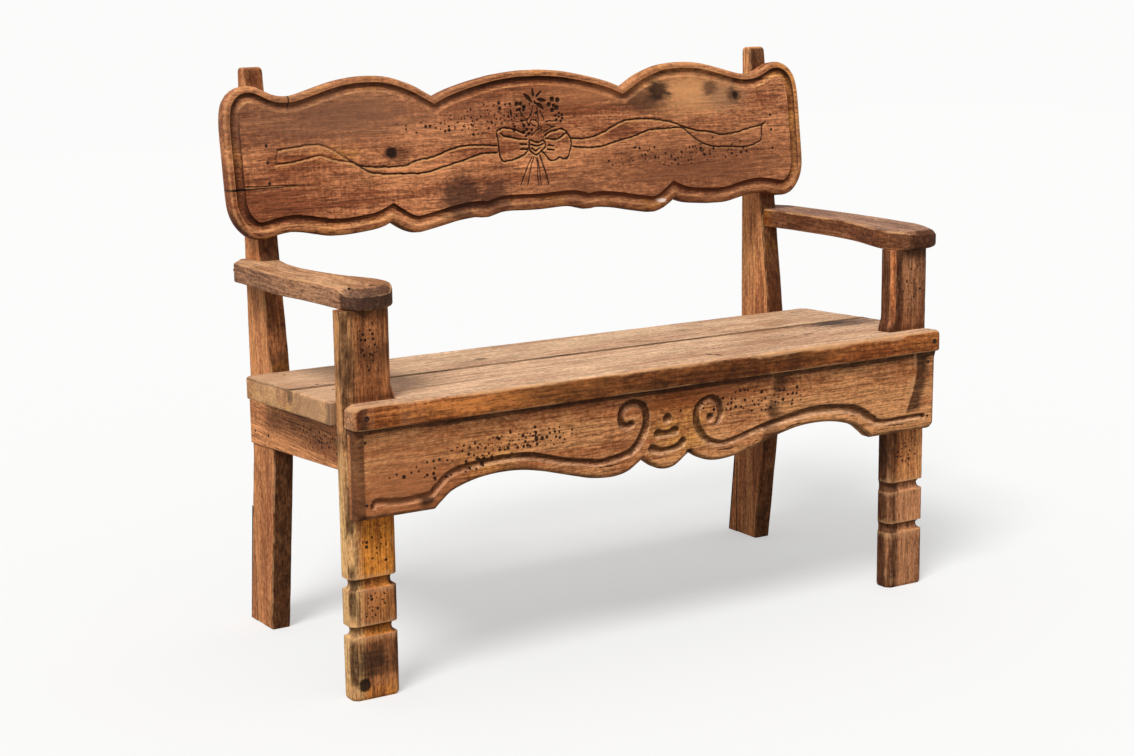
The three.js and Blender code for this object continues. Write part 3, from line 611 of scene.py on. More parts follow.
# The right half of the board's outline from the middle of its lower edge, as shares of half its
# length and of its height
BOARD_HALF = np.array([
    [0, 0.081], [0.078, 0.087], [0.122, 0.085], [0.153, 0.07], [0.177, 0.059], [0.201, 0.064],
    [0.227, 0.064], [0.279, 0.052], [0.331, 0.03], [0.384, 0.009], [0.415, 0.001], [0.445, 0.018],
    [0.471, 0.047], [0.496, 0.083], [0.52, 0.061], [0.549, 0.045], [0.593, 0.034], [0.642, 0.026],
    [0.689, 0.027], [0.732, 0.044], [0.776, 0.063], [0.816, 0.07], [0.854, 0.062], [0.886, 0.047],
    [0.915, 0.04], [0.942, 0.055], [0.964, 0.092], [0.982, 0.142], [0.994, 0.205], [0.999, 0.275],
    [1, 0.4], [1, 0.55], [1, 0.7], [0.997, 0.795], [0.989, 0.867], [0.973, 0.92], [0.95, 0.955],
    [0.924, 0.97], [0.898, 0.965], [0.872, 0.941], [0.846, 0.914], [0.82, 0.9], [0.793, 0.898],
    [0.764, 0.908], [0.731, 0.927], [0.68, 0.958], [0.629, 0.984], [0.579, 0.997], [0.525, 0.998],
    [0.474, 0.986], [0.424, 0.953], [0.387, 0.92], [0.357, 0.883], [0.328, 0.848], [0.305, 0.871],
    [0.27, 0.898], [0.218, 0.929], [0.166, 0.954], [0.113, 0.975], [0.044, 0.989], [0, 0.99]])
BOARD_CUSPS = (13, 53)


def board_outline():
    """The whole outline, anticlockwise from the middle of the lower edge, and its corner flags."""
    off_centre = 5  # how far the middle lies towards the left
    shares = np.vstack([BOARD_HALF, BOARD_HALF[-2:0:-1] * [-1, 1]])
    across, up = shares.T
    x = across * BOARD_REACH - off_centre * (1 - across**2)
    outline = np.column_stack([x, BOARD_FOOT + up * BOARD_HIGH])
    corners = np.zeros(len(outline), bool)
    corners[[i for c in BOARD_CUSPS for i in (c, len(outline) - c)]] = True
    return outline, corners


def outline_curve(outline, corners):
    """The outline as a smooth closed curve at any distance into the wood."""
    def curve(distance, t):
        return on_curve(inset(outline, distance), corners, np.asarray(t, float))
    curve.spans = len(outline)
    return curve


# The engraving's lines, as (X, S) in mm. The ribbon's two edges cross on each side of the bow.
RIBBON = [
    [(-483, 356), (-449, 359), (-420, 361), (-395, 355), (-370, 339), (-343, 322), (-325, 311), (-299, 306),
     (-262, 304), (-223, 303), (-184, 311), (-144, 320), (-111, 328), (-81, 328)],
    [(-490, 333), (-462, 335), (-436, 339), (-410, 343), (-393, 337), (-371, 331), (-357, 329), (-339, 322),
     (-313, 318), (-260, 317), (-237, 324), (-201, 329), (-173, 338), (-146, 343), (-114, 343), (-80, 340)],
    [(-484, 356), (-487, 345), (-490, 333)],
    [(69, 344), (100, 343), (133, 350), (161, 362), (188, 370), (235, 370), (282, 362), (309, 352),
     (337, 344), (366, 340), (389, 334), (424, 336), (454, 342), (484, 347), (492, 352)],
    [(484, 347), (482, 334), (480, 321), (476, 317), (446, 309), (406, 311), (368, 314), (340, 325),
     (317, 342), (304, 351), (271, 351), (233, 350), (205, 342), (168, 335), (130, 327), (94, 327),
     (68, 331)],
]
BOW = [
    [(-77, 365), (-71, 368), (-61, 369), (-48, 367), (-32, 361), (-23, 358)],
    [(-70, 360), (-63, 355), (-49, 352), (-35, 349), (-20, 347)],
    [(-79, 362), (-77, 353), (-76, 341), (-76, 331), (-75, 321)],
    [(-75, 321), (-70, 313), (-59, 313), (-47, 315), (-36, 318), (-28, 321), (-19, 328)],
    [(17, 352), (28, 358), (40, 360), (50, 362), (58, 359), (62, 355)],
    [(18, 347), (28, 345), (41, 345), (51, 349), (61, 355)],
    [(62, 353), (67, 347), (69, 338), (67, 328), (62, 316), (58, 310)],
    [(58, 310), (49, 310), (44, 313), (37, 310), (27, 308), (21, 311), (16, 318), (8, 326)],
    [(-12, 346), (-4, 342), (4, 341), (13, 345)], [(-13, 338), (-5, 336), (3, 336), (12, 338)],
    [(14, 343), (17, 336), (13, 329), (6, 326)],
    [(-15, 345), (-16, 333), (-14, 327), (-8, 322), (-2, 320), (4, 323)],
    [(-11, 332), (-4, 327), (5, 331)], [(-34, 340), (-21, 339)], [(-34, 331), (-19, 331)],
    [(22, 335), (33, 334)], [(19, 328), (33, 326)], [(4, 319), (8, 305), (13, 288), (17, 269)],
]
STEMS = [
    [(-13, 315), (-22, 302), (-29, 289), (-39, 270)], [(-9, 315), (-15, 302), (-20, 286), (-25, 270)],
    [(-4, 315), (-2, 301), (-4, 284), (-3, 268)], [(-1, 314), (1, 297), (1, 280), (2, 268)],
    [(6, 402), (6, 392), (6, 379), (5, 362)], [(11, 395), (16, 384), (18, 379)],
    [(-2, 404), (-7, 390), (-12, 384)], [(-11, 377), (-7, 380), (-1, 380), (3, 376)],
    [(-11, 377), (-5, 371), (0, 369)], [(21, 376), (33, 376), (46, 376)], [(23, 370), (34, 366)],
    [(13, 357), (26, 363), (39, 367)], [(-29, 398), (-24, 388), (-18, 381), (-15, 374)],
    [(-29, 380), (-21, 380)], [(-9, 354), (0, 361), (8, 364), (14, 362)], [(6, 369), (12, 366), (10, 360)],
]
PETALS = [
    [(-18, 425, 1.0), (-11, 419, 2.4), (-4, 411, 1.2)], [(-1, 433, 1.0), (0, 423, 2.0)],
    [(16, 428, 0.9), (7, 421, 1.6)], [(8, 415, 1.2), (15, 413.5, 2.4), (24, 412, 1.0)],
    [(5, 408, 1.2), (12, 404, 2.4), (18, 398, 1.0)],
]
BERRIES = [(37, 414, 4.6), (48, 412, 4.6), (30, 405, 4.2), (39, 403, 3.2), (45, 399, 4.6), (36, 395, 4),
           (-34, 409, 4), (-26, 409, 3.6), (-20, 403, 3.6), (-29, 399, 3), (-21, 398, 2.8),
           (-34, 398, 2.4), (2, 411, 2.2), (42, 385, 2.3), (49, 389, 2.3), (55, 386, 2.3), (55, 380, 2.3),
           (51, 375, 2.3), (43, 378, 2.3), (48, 383, 2.1), (-23, 371, 3.2), (-13, 372, 3), (-18, 364, 3),
           (-24, 360, 3), (-8, 363, 2.4), (-15, 357, 3), (-21, 353, 2)]
BOARD_CRACK = [(-560, 301.5, 0.9), (-520, 299.5, 0.9), (-490, 299.5, 0.8), (-451, 297, 0.5)]


def with_width(line, width, step=2.0):
    """A line with a half width in a third column, run smoothly through its points."""
    rows = [tuple(p) if len(p) == 3 else (*p, width) for p in line]
    return open_curve(rows, step)


def dots(places):
    """Round dabs as very short lines."""
    return [np.array([[x - 0.3, s, r], [x + 0.3, s, r]]) for x, s, r in places]


def board_place(points):
    """Flat board points and heights above the posts' faces, as places on the leaning board."""
    x, s, h = points.T
    y = SEAT_DEPTH + s * math.sin(LEAN) - h * math.cos(LEAN)
    return np.column_stack([x, y, SEAT_REAR + s * math.cos(LEAN) + h * math.sin(LEAN)])


def joiner(rings, around, count):
    """Joins a mask's values on a carved plank's rings, given whole or to be spread, and grid."""
    def joined(on_rings, on_grid):
        return np.append(np.broadcast_to(on_rings, (rings, around)), np.broadcast_to(on_grid, count))
    return joined


def backrest(material):
    """The board: a flat rim with rounded arrises, a half-round cove inside it, whose depth is a
    sine of the turn across it, and a panel with the engraving cut into it as round furrows."""
    curve = outline_curve(*board_outline())
    wobble = np.random.default_rng(4)
    strong, light = [], []
    for lines, width, kept in ((RIBBON, 1.75, strong), (BOW, 1.85, strong), (STEMS, 1.5, light)):
        for line in lines:
            run = with_width(line, width)
            along = np.arange(len(run)) * 2.0
            run[:, 1] += 0.5 * drift(along, 14, int(wobble.integers(999)))
            run[:, 2] *= 1 + 0.25 * drift(along, 9, int(wobble.integers(999)))
            kept.append(run)
    strong.append(with_width(BOARD_CRACK, 1.0))
    dabs = [with_width(petal, 1.5) * (1, 1, 1.6) for petal in PETALS] + dots(BERRIES)
    line_deep, stem_deep, dab_deep = 2.1, 1.1, 2.2
    found = {}

    def relief(flat):
        x, s = flat.T
        line, stem, dab = (reach_of(flat, lines) for lines in (strong, light, dabs))
        cut = line_deep * np.clip(1 - line**2, 0, 1) + stem_deep * np.clip(1 - stem**2, 0, 1)
        cut += dab_deep * np.clip(1 - dab**4, 0, 1)
        # Painted highlight: a pale strip just below each strong line, where light from above would catch its
        # lower edge
        below = 1 - ease(reach_of(flat + [0, 2.6], strong), 0.5, 1.2)
        dark = (1 - 0.5 * ease(-x, 345, 375)) * (1 - ease(line, 0.5, 1.2))  # gilt at the left
        found["carved"] = np.maximum(dark, 0.85 * (1 - ease(stem, 0.4, 1.2)))
        found["dab"] = 1 - ease(dab, 0.8, 1.15)
        found["raised"] = 1.5 * below * ease(line, 0.8, 1.2) * ease(dab, 1.0, 1.4)
        roll = 0.35 * drift(x, 260, 11) + 0.25 * drift(s + 0.2 * x, 90, 12)
        found["height"] = roll * ease(-np.abs(x), -546, -480) - cut
        return found["height"]

    front = JOINT + BOARD_THICK
    cove_middle, cove_half, cove_deep = 19.1, 7.9, 6.6
    turns = np.linspace(0.12, math.pi - 0.1, 9)
    rim = [(2.4, JOINT), (0.7, JOINT + 0.7), (0, JOINT + 2.6), (0, 10), (0, front - 5.6),
           (0.45, front - 3.4), (1.7, front - 1.6), (3.4, front - 0.55), (5.6, front), (8.5, front),
           (10.5, front - 0.15)]
    cove = [(cove_middle - cove_half * math.cos(a), front - 0.1 - cove_deep * math.sin(a)) for a in turns]
    levels = rim + cove + [(27.2, front)]
    wear = [0, 0.3, 0.3, 0, 0.1, 0.3, 0.55, 0.6, 0.25, 0.15, 0.8] + [0] * len(cove)
    columns = graded(-90, 80, -546, 546, 1.0, 2.9)
    rows = graded(62, 226, 0, 240, 1.38, 3.0)
    low_corner, high_corner = 27.0, 34.3  # where the grid's corners lie, in spans of the outline
    corner_at = (low_corner, high_corner, curve.spans - high_corner, -low_corner)
    points, faces, flat, around = carved_plank(curve, corner_at, columns, rows, levels, relief)

    rings = len(levels) - 1
    joined = joiner(rings, around, len(flat))
    ring = np.arange(rings)[:, None]
    sweep = np.append([-1.0] * len(rim), turns / math.pi)[:, None]  # 0 by the rim, 1 by the panel
    in_cove = sweep >= 0
    # The cove is painted with shade and some dirt: dark below the rim along the top, below the panel
    # along the foot and at both walls at the ends, as light from above would leave them; the carved
    # mask gets a painted shadow line there and the bare mask a painted highlight on the lit wall.
    # The rim is a little dirty, and its lower edge, facing down, is painted with shade.
    first = points[:around, :2]
    tangent = np.roll(first, -1, axis=0) - np.roll(first, 1, axis=0)
    rise = -tangent[:, 0] / np.linalg.norm(tangent, axis=1)
    over, under = np.clip(rise * 1.5, 0, 1), np.clip(-rise * 1.5, 0, 1)
    upright, hanging = 1 - over - under, np.clip(-rise, 0, 1)
    shade_and_dirt = over * 1.8 * (1 - ease(sweep, 0.3, 0.56)) + under * (0.1 + 1.8 * ease(sweep, 0.5, 0.72))
    shade_and_dirt += upright * (0.5 + 0.9 * ease(np.abs(2 * sweep - 1), 0.6, 0.9))
    shade_and_dirt = shade_and_dirt * in_cove + ~in_cove * (0.12 + 0.22 * hanging)
    shade_and_dirt += 0.8 * ((ring > 2) & (ring < 8)) * hanging
    cove_shadow = over * (1 - ease(sweep, 0.25, 0.45)) + under * ease(sweep, 0.6, 0.78)
    pale = over * 0.95 * ease(sweep, 0.6, 0.9) + under * 0.6 * (1 - ease(sweep, 0.1, 0.45))
    down, up = walls(found["height"], flat, len(rows))
    panel_x, panel_s = flat.T
    x, s = points[:, 0], points[:, 1]
    ring_x = x[:rings * around].reshape(rings, around)
    gold = ease(-x, 290, 360) * ease(x, -520, -485) * near(s, 344 + 0.12 * (x + 420), 8, 26)
    warm = ease(drift(ring_x, 160, 5), 0.0, 0.7) + upright * (sweep > 0.1) * (1 - 0.7 * (ring_x > 0))
    # In the panel the grime mask paints shade on walls facing down, and the bare mask and the lighter lines
    # paint light on walls facing up
    masks = {
        "worn": joined(np.array(wear)[:, None], 0.8 * found["raised"]),
        "carved": joined(0.6 * cove_shadow * in_cove, np.maximum(found["carved"] * (1 - 0.4 * up), found["dab"])),
        "grime_and_shade": joined(shade_and_dirt, 0.9 * down + 0.3 * ease(panel_s, 395, 425) * ease(-panel_x, 250, 330)),
        "bare_and_lit": joined(pale * in_cove, 0.9 * up * (1 - found["dab"])),
        "ochre": joined(0.4 * warm, 0) + 0.42 * gold}
    make_piece("carved_backrest", board_place(points), faces, material, ["backrest_board"], masks)


# Apron

APRON_RUNS = [
    [(0, 0.09), (0.021, 0.11), (0.043, 0.18), (0.065, 0.32), (0.085, 0.47), (0.109, 0.64)],
    [(0.145, 0.4), (0.171, 0.25), (0.209, 0.14), (0.261, 0.11), (0.336, 0.19), (0.408, 0.38), (0.491, 0.62),
     (0.552, 0.79), (0.64, 0.96), (0.735, 1), (0.829, 0.9), (0.922, 0.62), (0.969, 0.28), (1, 0)],
]
APRON_GROOVES = [
    [(-533, 306, 4), (-530, 311, 5), (-524, 313, 5.8), (-488, 309, 6.2), (-440, 311, 6.2), (-427, 320, 6.2),
     (-402, 339, 6.2), (-368, 346, 6.2), (-315, 350, 6.2), (-262, 347, 6.2), (-208, 333, 6), (-141, 320, 5.8),
     (-115, 321, 5.8), (-92, 324, 6.2), (-75, 329, 7), (-64, 337, 7.6), (-54, 350, 7.7), (-47, 364, 7.7),
     (-45, 380, 7.4), (-48, 394, 7.2), (-55, 403, 6.6), (-67, 407, 6.2), (-80, 406, 6.4), (-90, 399, 6.4),
     (-94, 388, 6.4), (-92, 376, 6.4), (-83, 371, 6.6), (-74, 373, 7)],
    [(534, 308, 3.4), (529, 312, 4.2), (493, 311, 4.8), (459, 310.5, 5), (432, 312.5, 5.4), (418, 320, 7),
     (402, 331, 8), (381, 340.5, 8.4), (346, 347, 8.2), (306, 349.8, 8.6), (275, 348.5, 8.2),
     (241, 344.5, 7.4), (210, 340, 6.4), (180, 334.5, 5.8), (140, 325, 5.4), (119, 321, 5), (99, 320, 5),
     (75, 328, 5.8), (61, 342, 6.6), (53, 358, 7.1), (52, 375, 7.1), (57, 387, 6.4), (67, 395, 5.6),
     (81, 398, 5.6), (93, 391, 6.4), (99, 379, 6.8), (100, 367, 6.4), (95, 357, 4.6), (90, 354, 3.4)],
    [(79, 365, 7.2), (79.5, 366, 7.2)], [(-5, 374, 8.6), (-4.5, 374, 8.6)],
    [(-23, 351, 7.8), (-17, 350, 7), (-10, 349.5, 6.4), (0, 349.5, 6.4), (5, 351, 7.2), (10, 352, 8.2)],
    [(-34, 328, 7.8), (-28, 326, 7), (-19, 323, 6.2), (-4, 322.5, 5.8), (12, 325, 6), (20, 329, 6.8),
     (25, 332, 7.8)],
]
APRON_CRACKS = [
    [(-136, 311.5, 0.5), (-119, 311, 1.3), (-96, 312, 0.6)],
    [(92, 309.5, 0.5), (108, 308.8, 1.4), (127, 309.4, 0.5)], [(164, 310.5, 0.5), (177, 315.3, 1.1)],
    [(459, 303, 0.5), (474, 302, 1.2), (489, 302.2, 0.5)],
    [(-330, 300, 0.4), (-290, 303, 0.8), (-262, 302, 0.4)],
    [(214, 322, 0.4), (250, 331, 0.9), (282, 334, 0.4)],
]


def apron(material):
    """The apron: the lower edge's arches and cusps, a rounded lower arris, and routed scrolls
    whose depth falls from the middle of the line as a flattened round."""
    middle_x, half, low_z, rise, thick = -5, 422, 287, 40.5, 25.0
    groove_deep, crack_deep, rows = 5.6, 0.8, 88

    def place(share, up, side):
        return middle_x + side * share * half, low_z + up * rise

    shares = [p for run in APRON_RUNS for p in run]
    cusp = len(APRON_RUNS[0]) - 1
    lower = [place(*p, -1) for p in shares[:0:-1]] + [place(*p, 1) for p in shares]
    rest = [(549, 287), (555.4, 289.8), (559, 297), (560, 412), (560, 424.2), (-560, 424.2), (-560, 412),
            (-560, 287)]  # its lower right corner is rounded
    outline = np.array(lower + rest, float)
    middle, end = len(shares) - 1, len(lower)
    corners = np.zeros(len(outline), bool)
    corners[[0, middle - cusp, middle + cusp, end - 1]] = True
    corners[end:] = True
    curve = outline_curve(outline, corners)
    grooves = [with_width(line, 4.4) for line in APRON_GROOVES]
    cracks = [with_width(line, 1.0) for line in APRON_CRACKS]
    found = {}

    def relief(flat):
        x, z = flat.T
        found["reach"] = reach_of(flat, grooves)
        found["crack"] = 1 - ease(reach_of(flat, cracks), 0.5, 1.3)
        floor = (1 - np.clip(found["reach"], 0, 1) ** 2) ** 0.6
        roll = 0.4 * drift(x, 300, 21) + 0.2 * drift(z, 80, 22)
        found["height"] = -groove_deep * floor + roll * ease(z, 292, 310) * ease(-z, -419, -410)
        return found["height"] - crack_deep * found["crack"]

    arris = np.full(len(outline), 7.5)
    arris[end + 4:end + 6] = 0.8  # under the seat
    levels = [(1.5, 0), (0.4, 0.4), (0, 1.5), (0, 8), (0, thick - arris)]
    turns = (0.25, 0.5, 0.75, 1.0, 1.25)
    levels += [(arris * (1 - math.cos(a)), thick - arris * (1 - math.sin(a))) for a in turns]
    levels += [(arris, thick)]
    wear = np.array([0, 0.4, 0.4, 0, 0.1, 0.3, 0.4, 0.35, 0.2, 0.1])[:, None]
    # The rounded front arris is darker all round
    arris_darkening = np.array([0.2] * 4 + [0.5, 0.66, 0.7, 0.6, 0.55, 0.5])[:, None]
    columns = graded(-118, 118, -552, 552, 1.35, 2.5)
    points, faces, flat, around = carved_plank(
        curve, (end + 1.5, end + 4.0, end + 5.0, -1.0), columns, np.linspace(0, 1, rows), levels, relief)

    joined = joiner(len(levels) - 1, around, len(flat))
    x, z, proud = points.T
    reach = found["reach"]
    down, up = walls(found["height"], flat, rows)
    inside, edges = 1 - ease(reach, 0.85, 1.03), (1 - ease(reach, 1.0, 1.3)) * ease(reach, 0.85, 1.0)
    lower_z = np.interp(flat[:, 0], *np.array(lower).T)
    left_end = ease(-x, 543, 549)
    # Groove floors get dirt and painted shade; walls facing down are painted with shade and walls facing up
    # painted lighter, as light from above falls
    grime_and_shade = joined(arris_darkening, inside * (0.76 - 0.6 * up) + 2.2 * down * (1 - ease(reach, 0.95, 1.25)))
    # A little darker just above the lower edge
    grime_and_shade += joined(0, 0.2 * (1 - ease(flat[:, 1] - lower_z, 8, 16)))
    # Painted shadow: a dark strip along the top, under the seat's lip
    grime_and_shade += 0.5 * ease(z, 409, 421) * ease(drift(x, 200, 31), -0.9, 0.3) + 0.9 * ease(z, 414, 420)
    grime_and_shade += 1.9 * left_end * (proud > 10)
    stripe = 210 + (z - 370) * 0.24 + 4 * drift(z, 30, 35)
    smear = (0.62 + 0.3 * drift(z, 40, 33)) * ease(z, 296, 312)
    grime_and_shade += smear * ease(x, stripe - 20, stripe - 4) * (1 - ease(x, stripe - 2, stripe + 34))
    edge = 494 + (z - 325) * 0.23 + 7 * np.sin((z - 325) / 95 * np.pi)
    grime_and_shade += 1.1 * ease(x, edge, edge + 5) * (1 - ease(x, edge + 9, edge + 44)) * ease(z, 312, 330)
    worn = joined(wear, 0.6 * edges) * (1 - left_end)
    worn += 1.1 * near(x, edge - 3, 1.5, 4) * ease(z, 318, 335) * ease(drift(z, 50, 34), -0.8, 0.2)
    worn += 0.4 * near(x, stripe - 17, 1.5, 5) * ease(z, 340, 365)
    ochre = 0.1 + 0.45 * (1 - ease(np.hypot(x - 20, z - 388), 30, 110))
    ochre += 0.3 * (1 - ease(np.hypot((x + 360) / 2, z - 362), 15, 60))
    # The bare mask here paints light on groove walls facing up
    masks = {"worn": worn, "grime_and_shade": grime_and_shade, "ochre": ochre, "bare_and_lit": joined(0, 0.45 * up),
             "carved": joined(0, found["crack"])}
    points = np.column_stack([x, -JOINT - proud, z])
    make_piece("carved_apron", points, faces, material, ["front_apron"], masks)


# Seat

SEAT_SLOPE = 13.5 / SEAT_DEPTH
SEAT_HEIGHT, SEAT_THICK = 460.5, 36.0
SEAT_END, LIP_END, LIP_FRONT, NOTCH, NOTCH_REAR, SEAM = 569.5, 563.5, -38.1, 475.7, 34, 177.5


def mirrored(half):
    """A right-hand half outline and its mirror image, as one outline."""
    return half + [(-x, y) for x, y in half[::-1]]


def seat_plank(name, outline, arris, seed, material, node, has_lip):
    """A plank of the seat: its worn top, its dirty ends and, at the front, its lip and a painted shadow on
    its end by the left post.
    """
    rings, wear = slab(outline, SEAT_THICK, arris, seed, 3.0, ((2.0, 0.0), (4.5, 0.0)))
    x, y = rings[..., 0], rings[..., 1]
    rings[..., 2] += SEAT_HEIGHT - SEAT_THICK - SEAT_SLOPE * y
    ring = np.arange(len(rings))[:, None]
    top = ease(ring, 8.5, 11.5)
    edge = 1 - top
    end = ease(-x, 565, 568.5) * edge * (y > 20)
    bare_and_lit, ochre = np.maximum(top, 0.3 * end), 0.75 * end
    worn = wear * (0.7 + 0.4 * drift(x + y, 140, seed))
    upper = (ring > 6) & (ring < len(rings) - 1)
    grime_and_shade = 0.62 * (ring < 2) + 1.2 * near(outline[:, 1], SEAM, 1.5, 3) * upper
    if has_lip:
        lip = edge * (y < 0)
        worn = worn + 0.35 * wear * (y < 0) * ease(x, 100, 300)
        bare_and_lit = bare_and_lit + 0.4 * ease(-x, 558, 562) * lip
        # The end face just behind the left post is painted near black: painted shadow in the gap between
        # plank and post
        grime_and_shade = grime_and_shade + 0.7 * lip * near(x, 20, 200, 420) + end * (0.4 + 1.2 * (1 - ease(y, 38, 42)))
        grime_and_shade = grime_and_shade + 1.5 * ease(-x, 546, 552) * (1 - ease(-x, 556, 561)) * edge
    else:
        worn = worn * (1 - end)
        grime_and_shade = grime_and_shade + 1.1 * wear * ease(-x, 564, 567) * ease(ring, 7, 9)
    masks = {"worn": worn, "bare_and_lit": bare_and_lit, "ochre": ochre, "grime_and_shade": grime_and_shade}
    ring_piece(name, rings, 1, material, node, masks)


def seat(front_wood, rear_wood):
    """The seat's two planks: the front one notched round the front posts, with a lip before
    them whose upper arris is worn wide at its right and at both ends."""
    half = [(LIP_END - 8, LIP_FRONT), (LIP_END, LIP_FRONT + 8), (LIP_END, -JOINT), (NOTCH, -JOINT),
            (NOTCH, NOTCH_REAR), (SEAT_END, NOTCH_REAR), (SEAT_END, SEAM - 0.5)]
    radii = [6, 5, 0, 0, 0, 3, 1]
    outline = sawn_outline(mirrored(half), radii + radii[::-1])
    x, y = outline.T
    arris = 4.2 + (1.3 + 2.4 * ease(x, -50, 250)) * ease(-y, 30, 38)
    arris = np.where(np.abs(x) < 480, arris, 3.6) + 6.5 * ease(np.abs(x), 550, 563) * (y < 1)
    arris = np.where(y > 170, 2.2, arris)
    arris = np.where((np.abs(y - 17) < 18) & (np.abs(x) < 560), 1.2, arris)
    seat_plank("seat_front", outline, arris, 41, front_wood, "seat_front_plank", True)
    half = [(SEAT_END, SEAM + 0.5), (SEAT_END, SEAT_DEPTH - 10.3), (SEAT_END - 10, SEAT_DEPTH - JOINT)]
    outline = sawn_outline(mirrored(half), [1, 4, 4, 4, 4, 1])
    arris = np.where(outline[:, 1] < 182, 2.2, 4.6)
    seat_plank("seat_rear", outline, arris, 43, rear_wood, "seat_rear_plank", False)


# Posts and rails

POST_OUTER, POST_INNER, POST_DEPTH = 562.0, 482.0, 32.0
GROOVES, GROOVE_HALF, GROOVE_DEEP = (108.0, 182.0), 9.2, 6.6


def front_post(side, top_height, arm_slope, material, node):
    """A front post: rings up a rectangle with worn chamfers on its front edges, drawn in by two
    grooves, whose depth is a half circle of the height, with its inner side swelling above the
    seat. It is drawn for the right side."""
    across_groove = np.array([-1.12, -1, -0.9, -0.7, -0.4, 0, 0.4, 0.7, 0.9, 1, 1.12])
    runs = [[0, 1.2, 3, 6], np.arange(14, 90, 9), np.arange(127, 166, 9), np.arange(203, 586, 9),
            [594, top_height - JOINT]] + [m + GROOVE_HALF * across_groove for m in GROOVES]
    z = np.unique(np.concatenate(runs))[:, None]
    to_groove = np.minimum(*(np.abs(z - m) for m in GROOVES))
    drawn = GROOVE_DEEP * np.sqrt(1 - np.clip(to_groove / GROOVE_HALF, 0, 1) ** 2)
    pull = drawn + 1.6 * (1 - ease(z, 0, 4))
    swell = 6 * ease(z, 286, 293) * (1 - ease(z, 461, 486))
    edge = np.linspace(0, 1, 5)
    # Each place round the post: share across, offset across, share through, offset through
    round_post = [
        ([(f, 9.5 * (1 - 2 * f), 0, 0) for f in edge], [0.3, 0, 0, 0, 0.3]),
        ([(1, -6.8, 0, 0.5), (1, -3.6, 0, 3.6), (1, -0.5, 0, 6.8)], [0.5, 0.1, 0.5]),
        ([(1, 0, f, 9.5 * (1 - f) - 3 * f) for f in edge], [0.3, 0, 0, 0, 0.3]),
        ([(1, -0.6, 1, -1.2), (1, -1.2, 1, -0.6)], [0.6, 0.6]),
        ([(1 - f, -3 * (1 - 2 * f), 1, 0) for f in edge], [0.2, 0, 0, 0, 0.2]),
        ([(0, 1.2, 1, -0.6), (0, 0.6, 1, -1.2)], [0.6, 0.6]),
        ([(0, 0, 1 - f, 9.5 * f - 3 * (1 - f)) for f in edge], [0.3, 0, 0, 0, 0.3]),
        ([(0, 0.5, 0, 6.8), (0, 3.6, 0, 3.6), (0, 6.8, 0, 0.5)], [0.5, 0.1, 0.5])]
    fx, ox, fy, oy = np.array([place for part, wear in round_post for place in part]).T
    wear = np.concatenate([wear for part, wear in round_post])
    part = np.repeat(np.arange(len(round_post)), [len(part) for part, wear in round_post])
    spent = drawn * (0.85 if side > 0 else 0)  # the grooves run out at the inner rear corner
    dent = np.abs(0.5 * drift(z[:, 0], 60, 50 + side)[:, None]) * (np.abs(ox) > 0.4) * (oy > 0)
    x = (POST_INNER - swell + pull - spent * fy) * (1 - fx) + (POST_OUTER - pull) * fx + ox
    y = pull * (1 - fy) + (POST_DEPTH - pull + spent * (1 - fx)) * fy + oy + dent
    rings = np.stack([x, y, z + arm_slope * y * ease(z, 500, top_height)], -1)

    def drifting(wavelength, seed):
        return drift(z[:, 0], wavelength, seed)[:, None]

    left = side < 0
    outer_chamfer, inner_chamfer = part == 1, part == 7
    chamfer = outer_chamfer * (1 if left else 0.4) + inner_chamfer * (0.5 if left else 1)
    is_front = (fy == 0) & ((fx > 0) | (oy < 1))
    on_left = fx == (1 if left else 0)  # the left post is mirrored
    cove = ease(drawn, 0.5, 5)
    lips = 1 - ease(np.abs(to_groove - 9.6), 0.6, 2.4)
    worn = np.maximum(wear * (0.6 + 0.5 * drifting(50, 60 + side)), 0.6 * lips) * (1 - 0.8 * cove)
    upper_wall_shade = sum(ease(z, m + 1, m + 7) * (1 - ease(z, m + 9, m + 11)) for m in GROOVES)
    low_block, middle_block = 1 - ease(z, 92, 100), ease(z, 118, 122) * (1 - ease(z, 168, 172))
    # Grooves are darker with grime and painted shade, and the upper half of each groove, whose wall faces
    # down, is painted shade
    grime_and_shade = 0.42 * cove + 0.4 * upper_wall_shade
    grime_and_shade = grime_and_shade + chamfer * (0.95 * ease(drifting(80, 70 + side), -0.9, 0.2) if left else 0.6)
    # Painted shadow on the front face under the arm, and painted shade just above the seat
    grime_and_shade = grime_and_shade + is_front * (0.55 * ease(z, 575, 600) + 0.8 * (1 - ease(z, 461, 478)) * (z > 455))
    if left:
        fresh = 1 - ease(z, 300, 440)
        gold = ease(z, 186, 194) * (1 - ease(z, 284, 296))
        ochre = gold * np.where(is_front, 1.1, 0.5) + 0.5 * (1 - ease(z, 16, 30)) + 0.2 * middle_block
        ochre = ochre + 0.6 * cove * is_front + 0.35 * on_left * fresh
        bare_and_lit = on_left * (0.28 + 0.62 * fresh)
        grime_and_shade = grime_and_shade + 0.2 * middle_block + 0.56 * low_block * is_front * ease(z, 24, 44)
        grime_and_shade = grime_and_shade + 0.5 * is_front * ease(z, 462, 480) * (0.75 + 0.35 * drifting(60, 75))
        stains = 0.45 * (chamfer < 0.4) * ease(z, 320, 420) * drifting(70, 76)
        grime_and_shade = grime_and_shade + on_left * (0.22 * (1 - fresh) + stains)
    else:
        above = ease(z, 466, 480)
        bare_and_lit = 0.65 * ease(z, 186, 196) * (1 - ease(z, 280, 290)) * is_front
        ochre = bare_and_lit + 0.45 * inner_chamfer * above
        grime_and_shade = grime_and_shade * (1 - 0.65 * inner_chamfer * above) + 0.4 * above * is_front * ~inner_chamfer
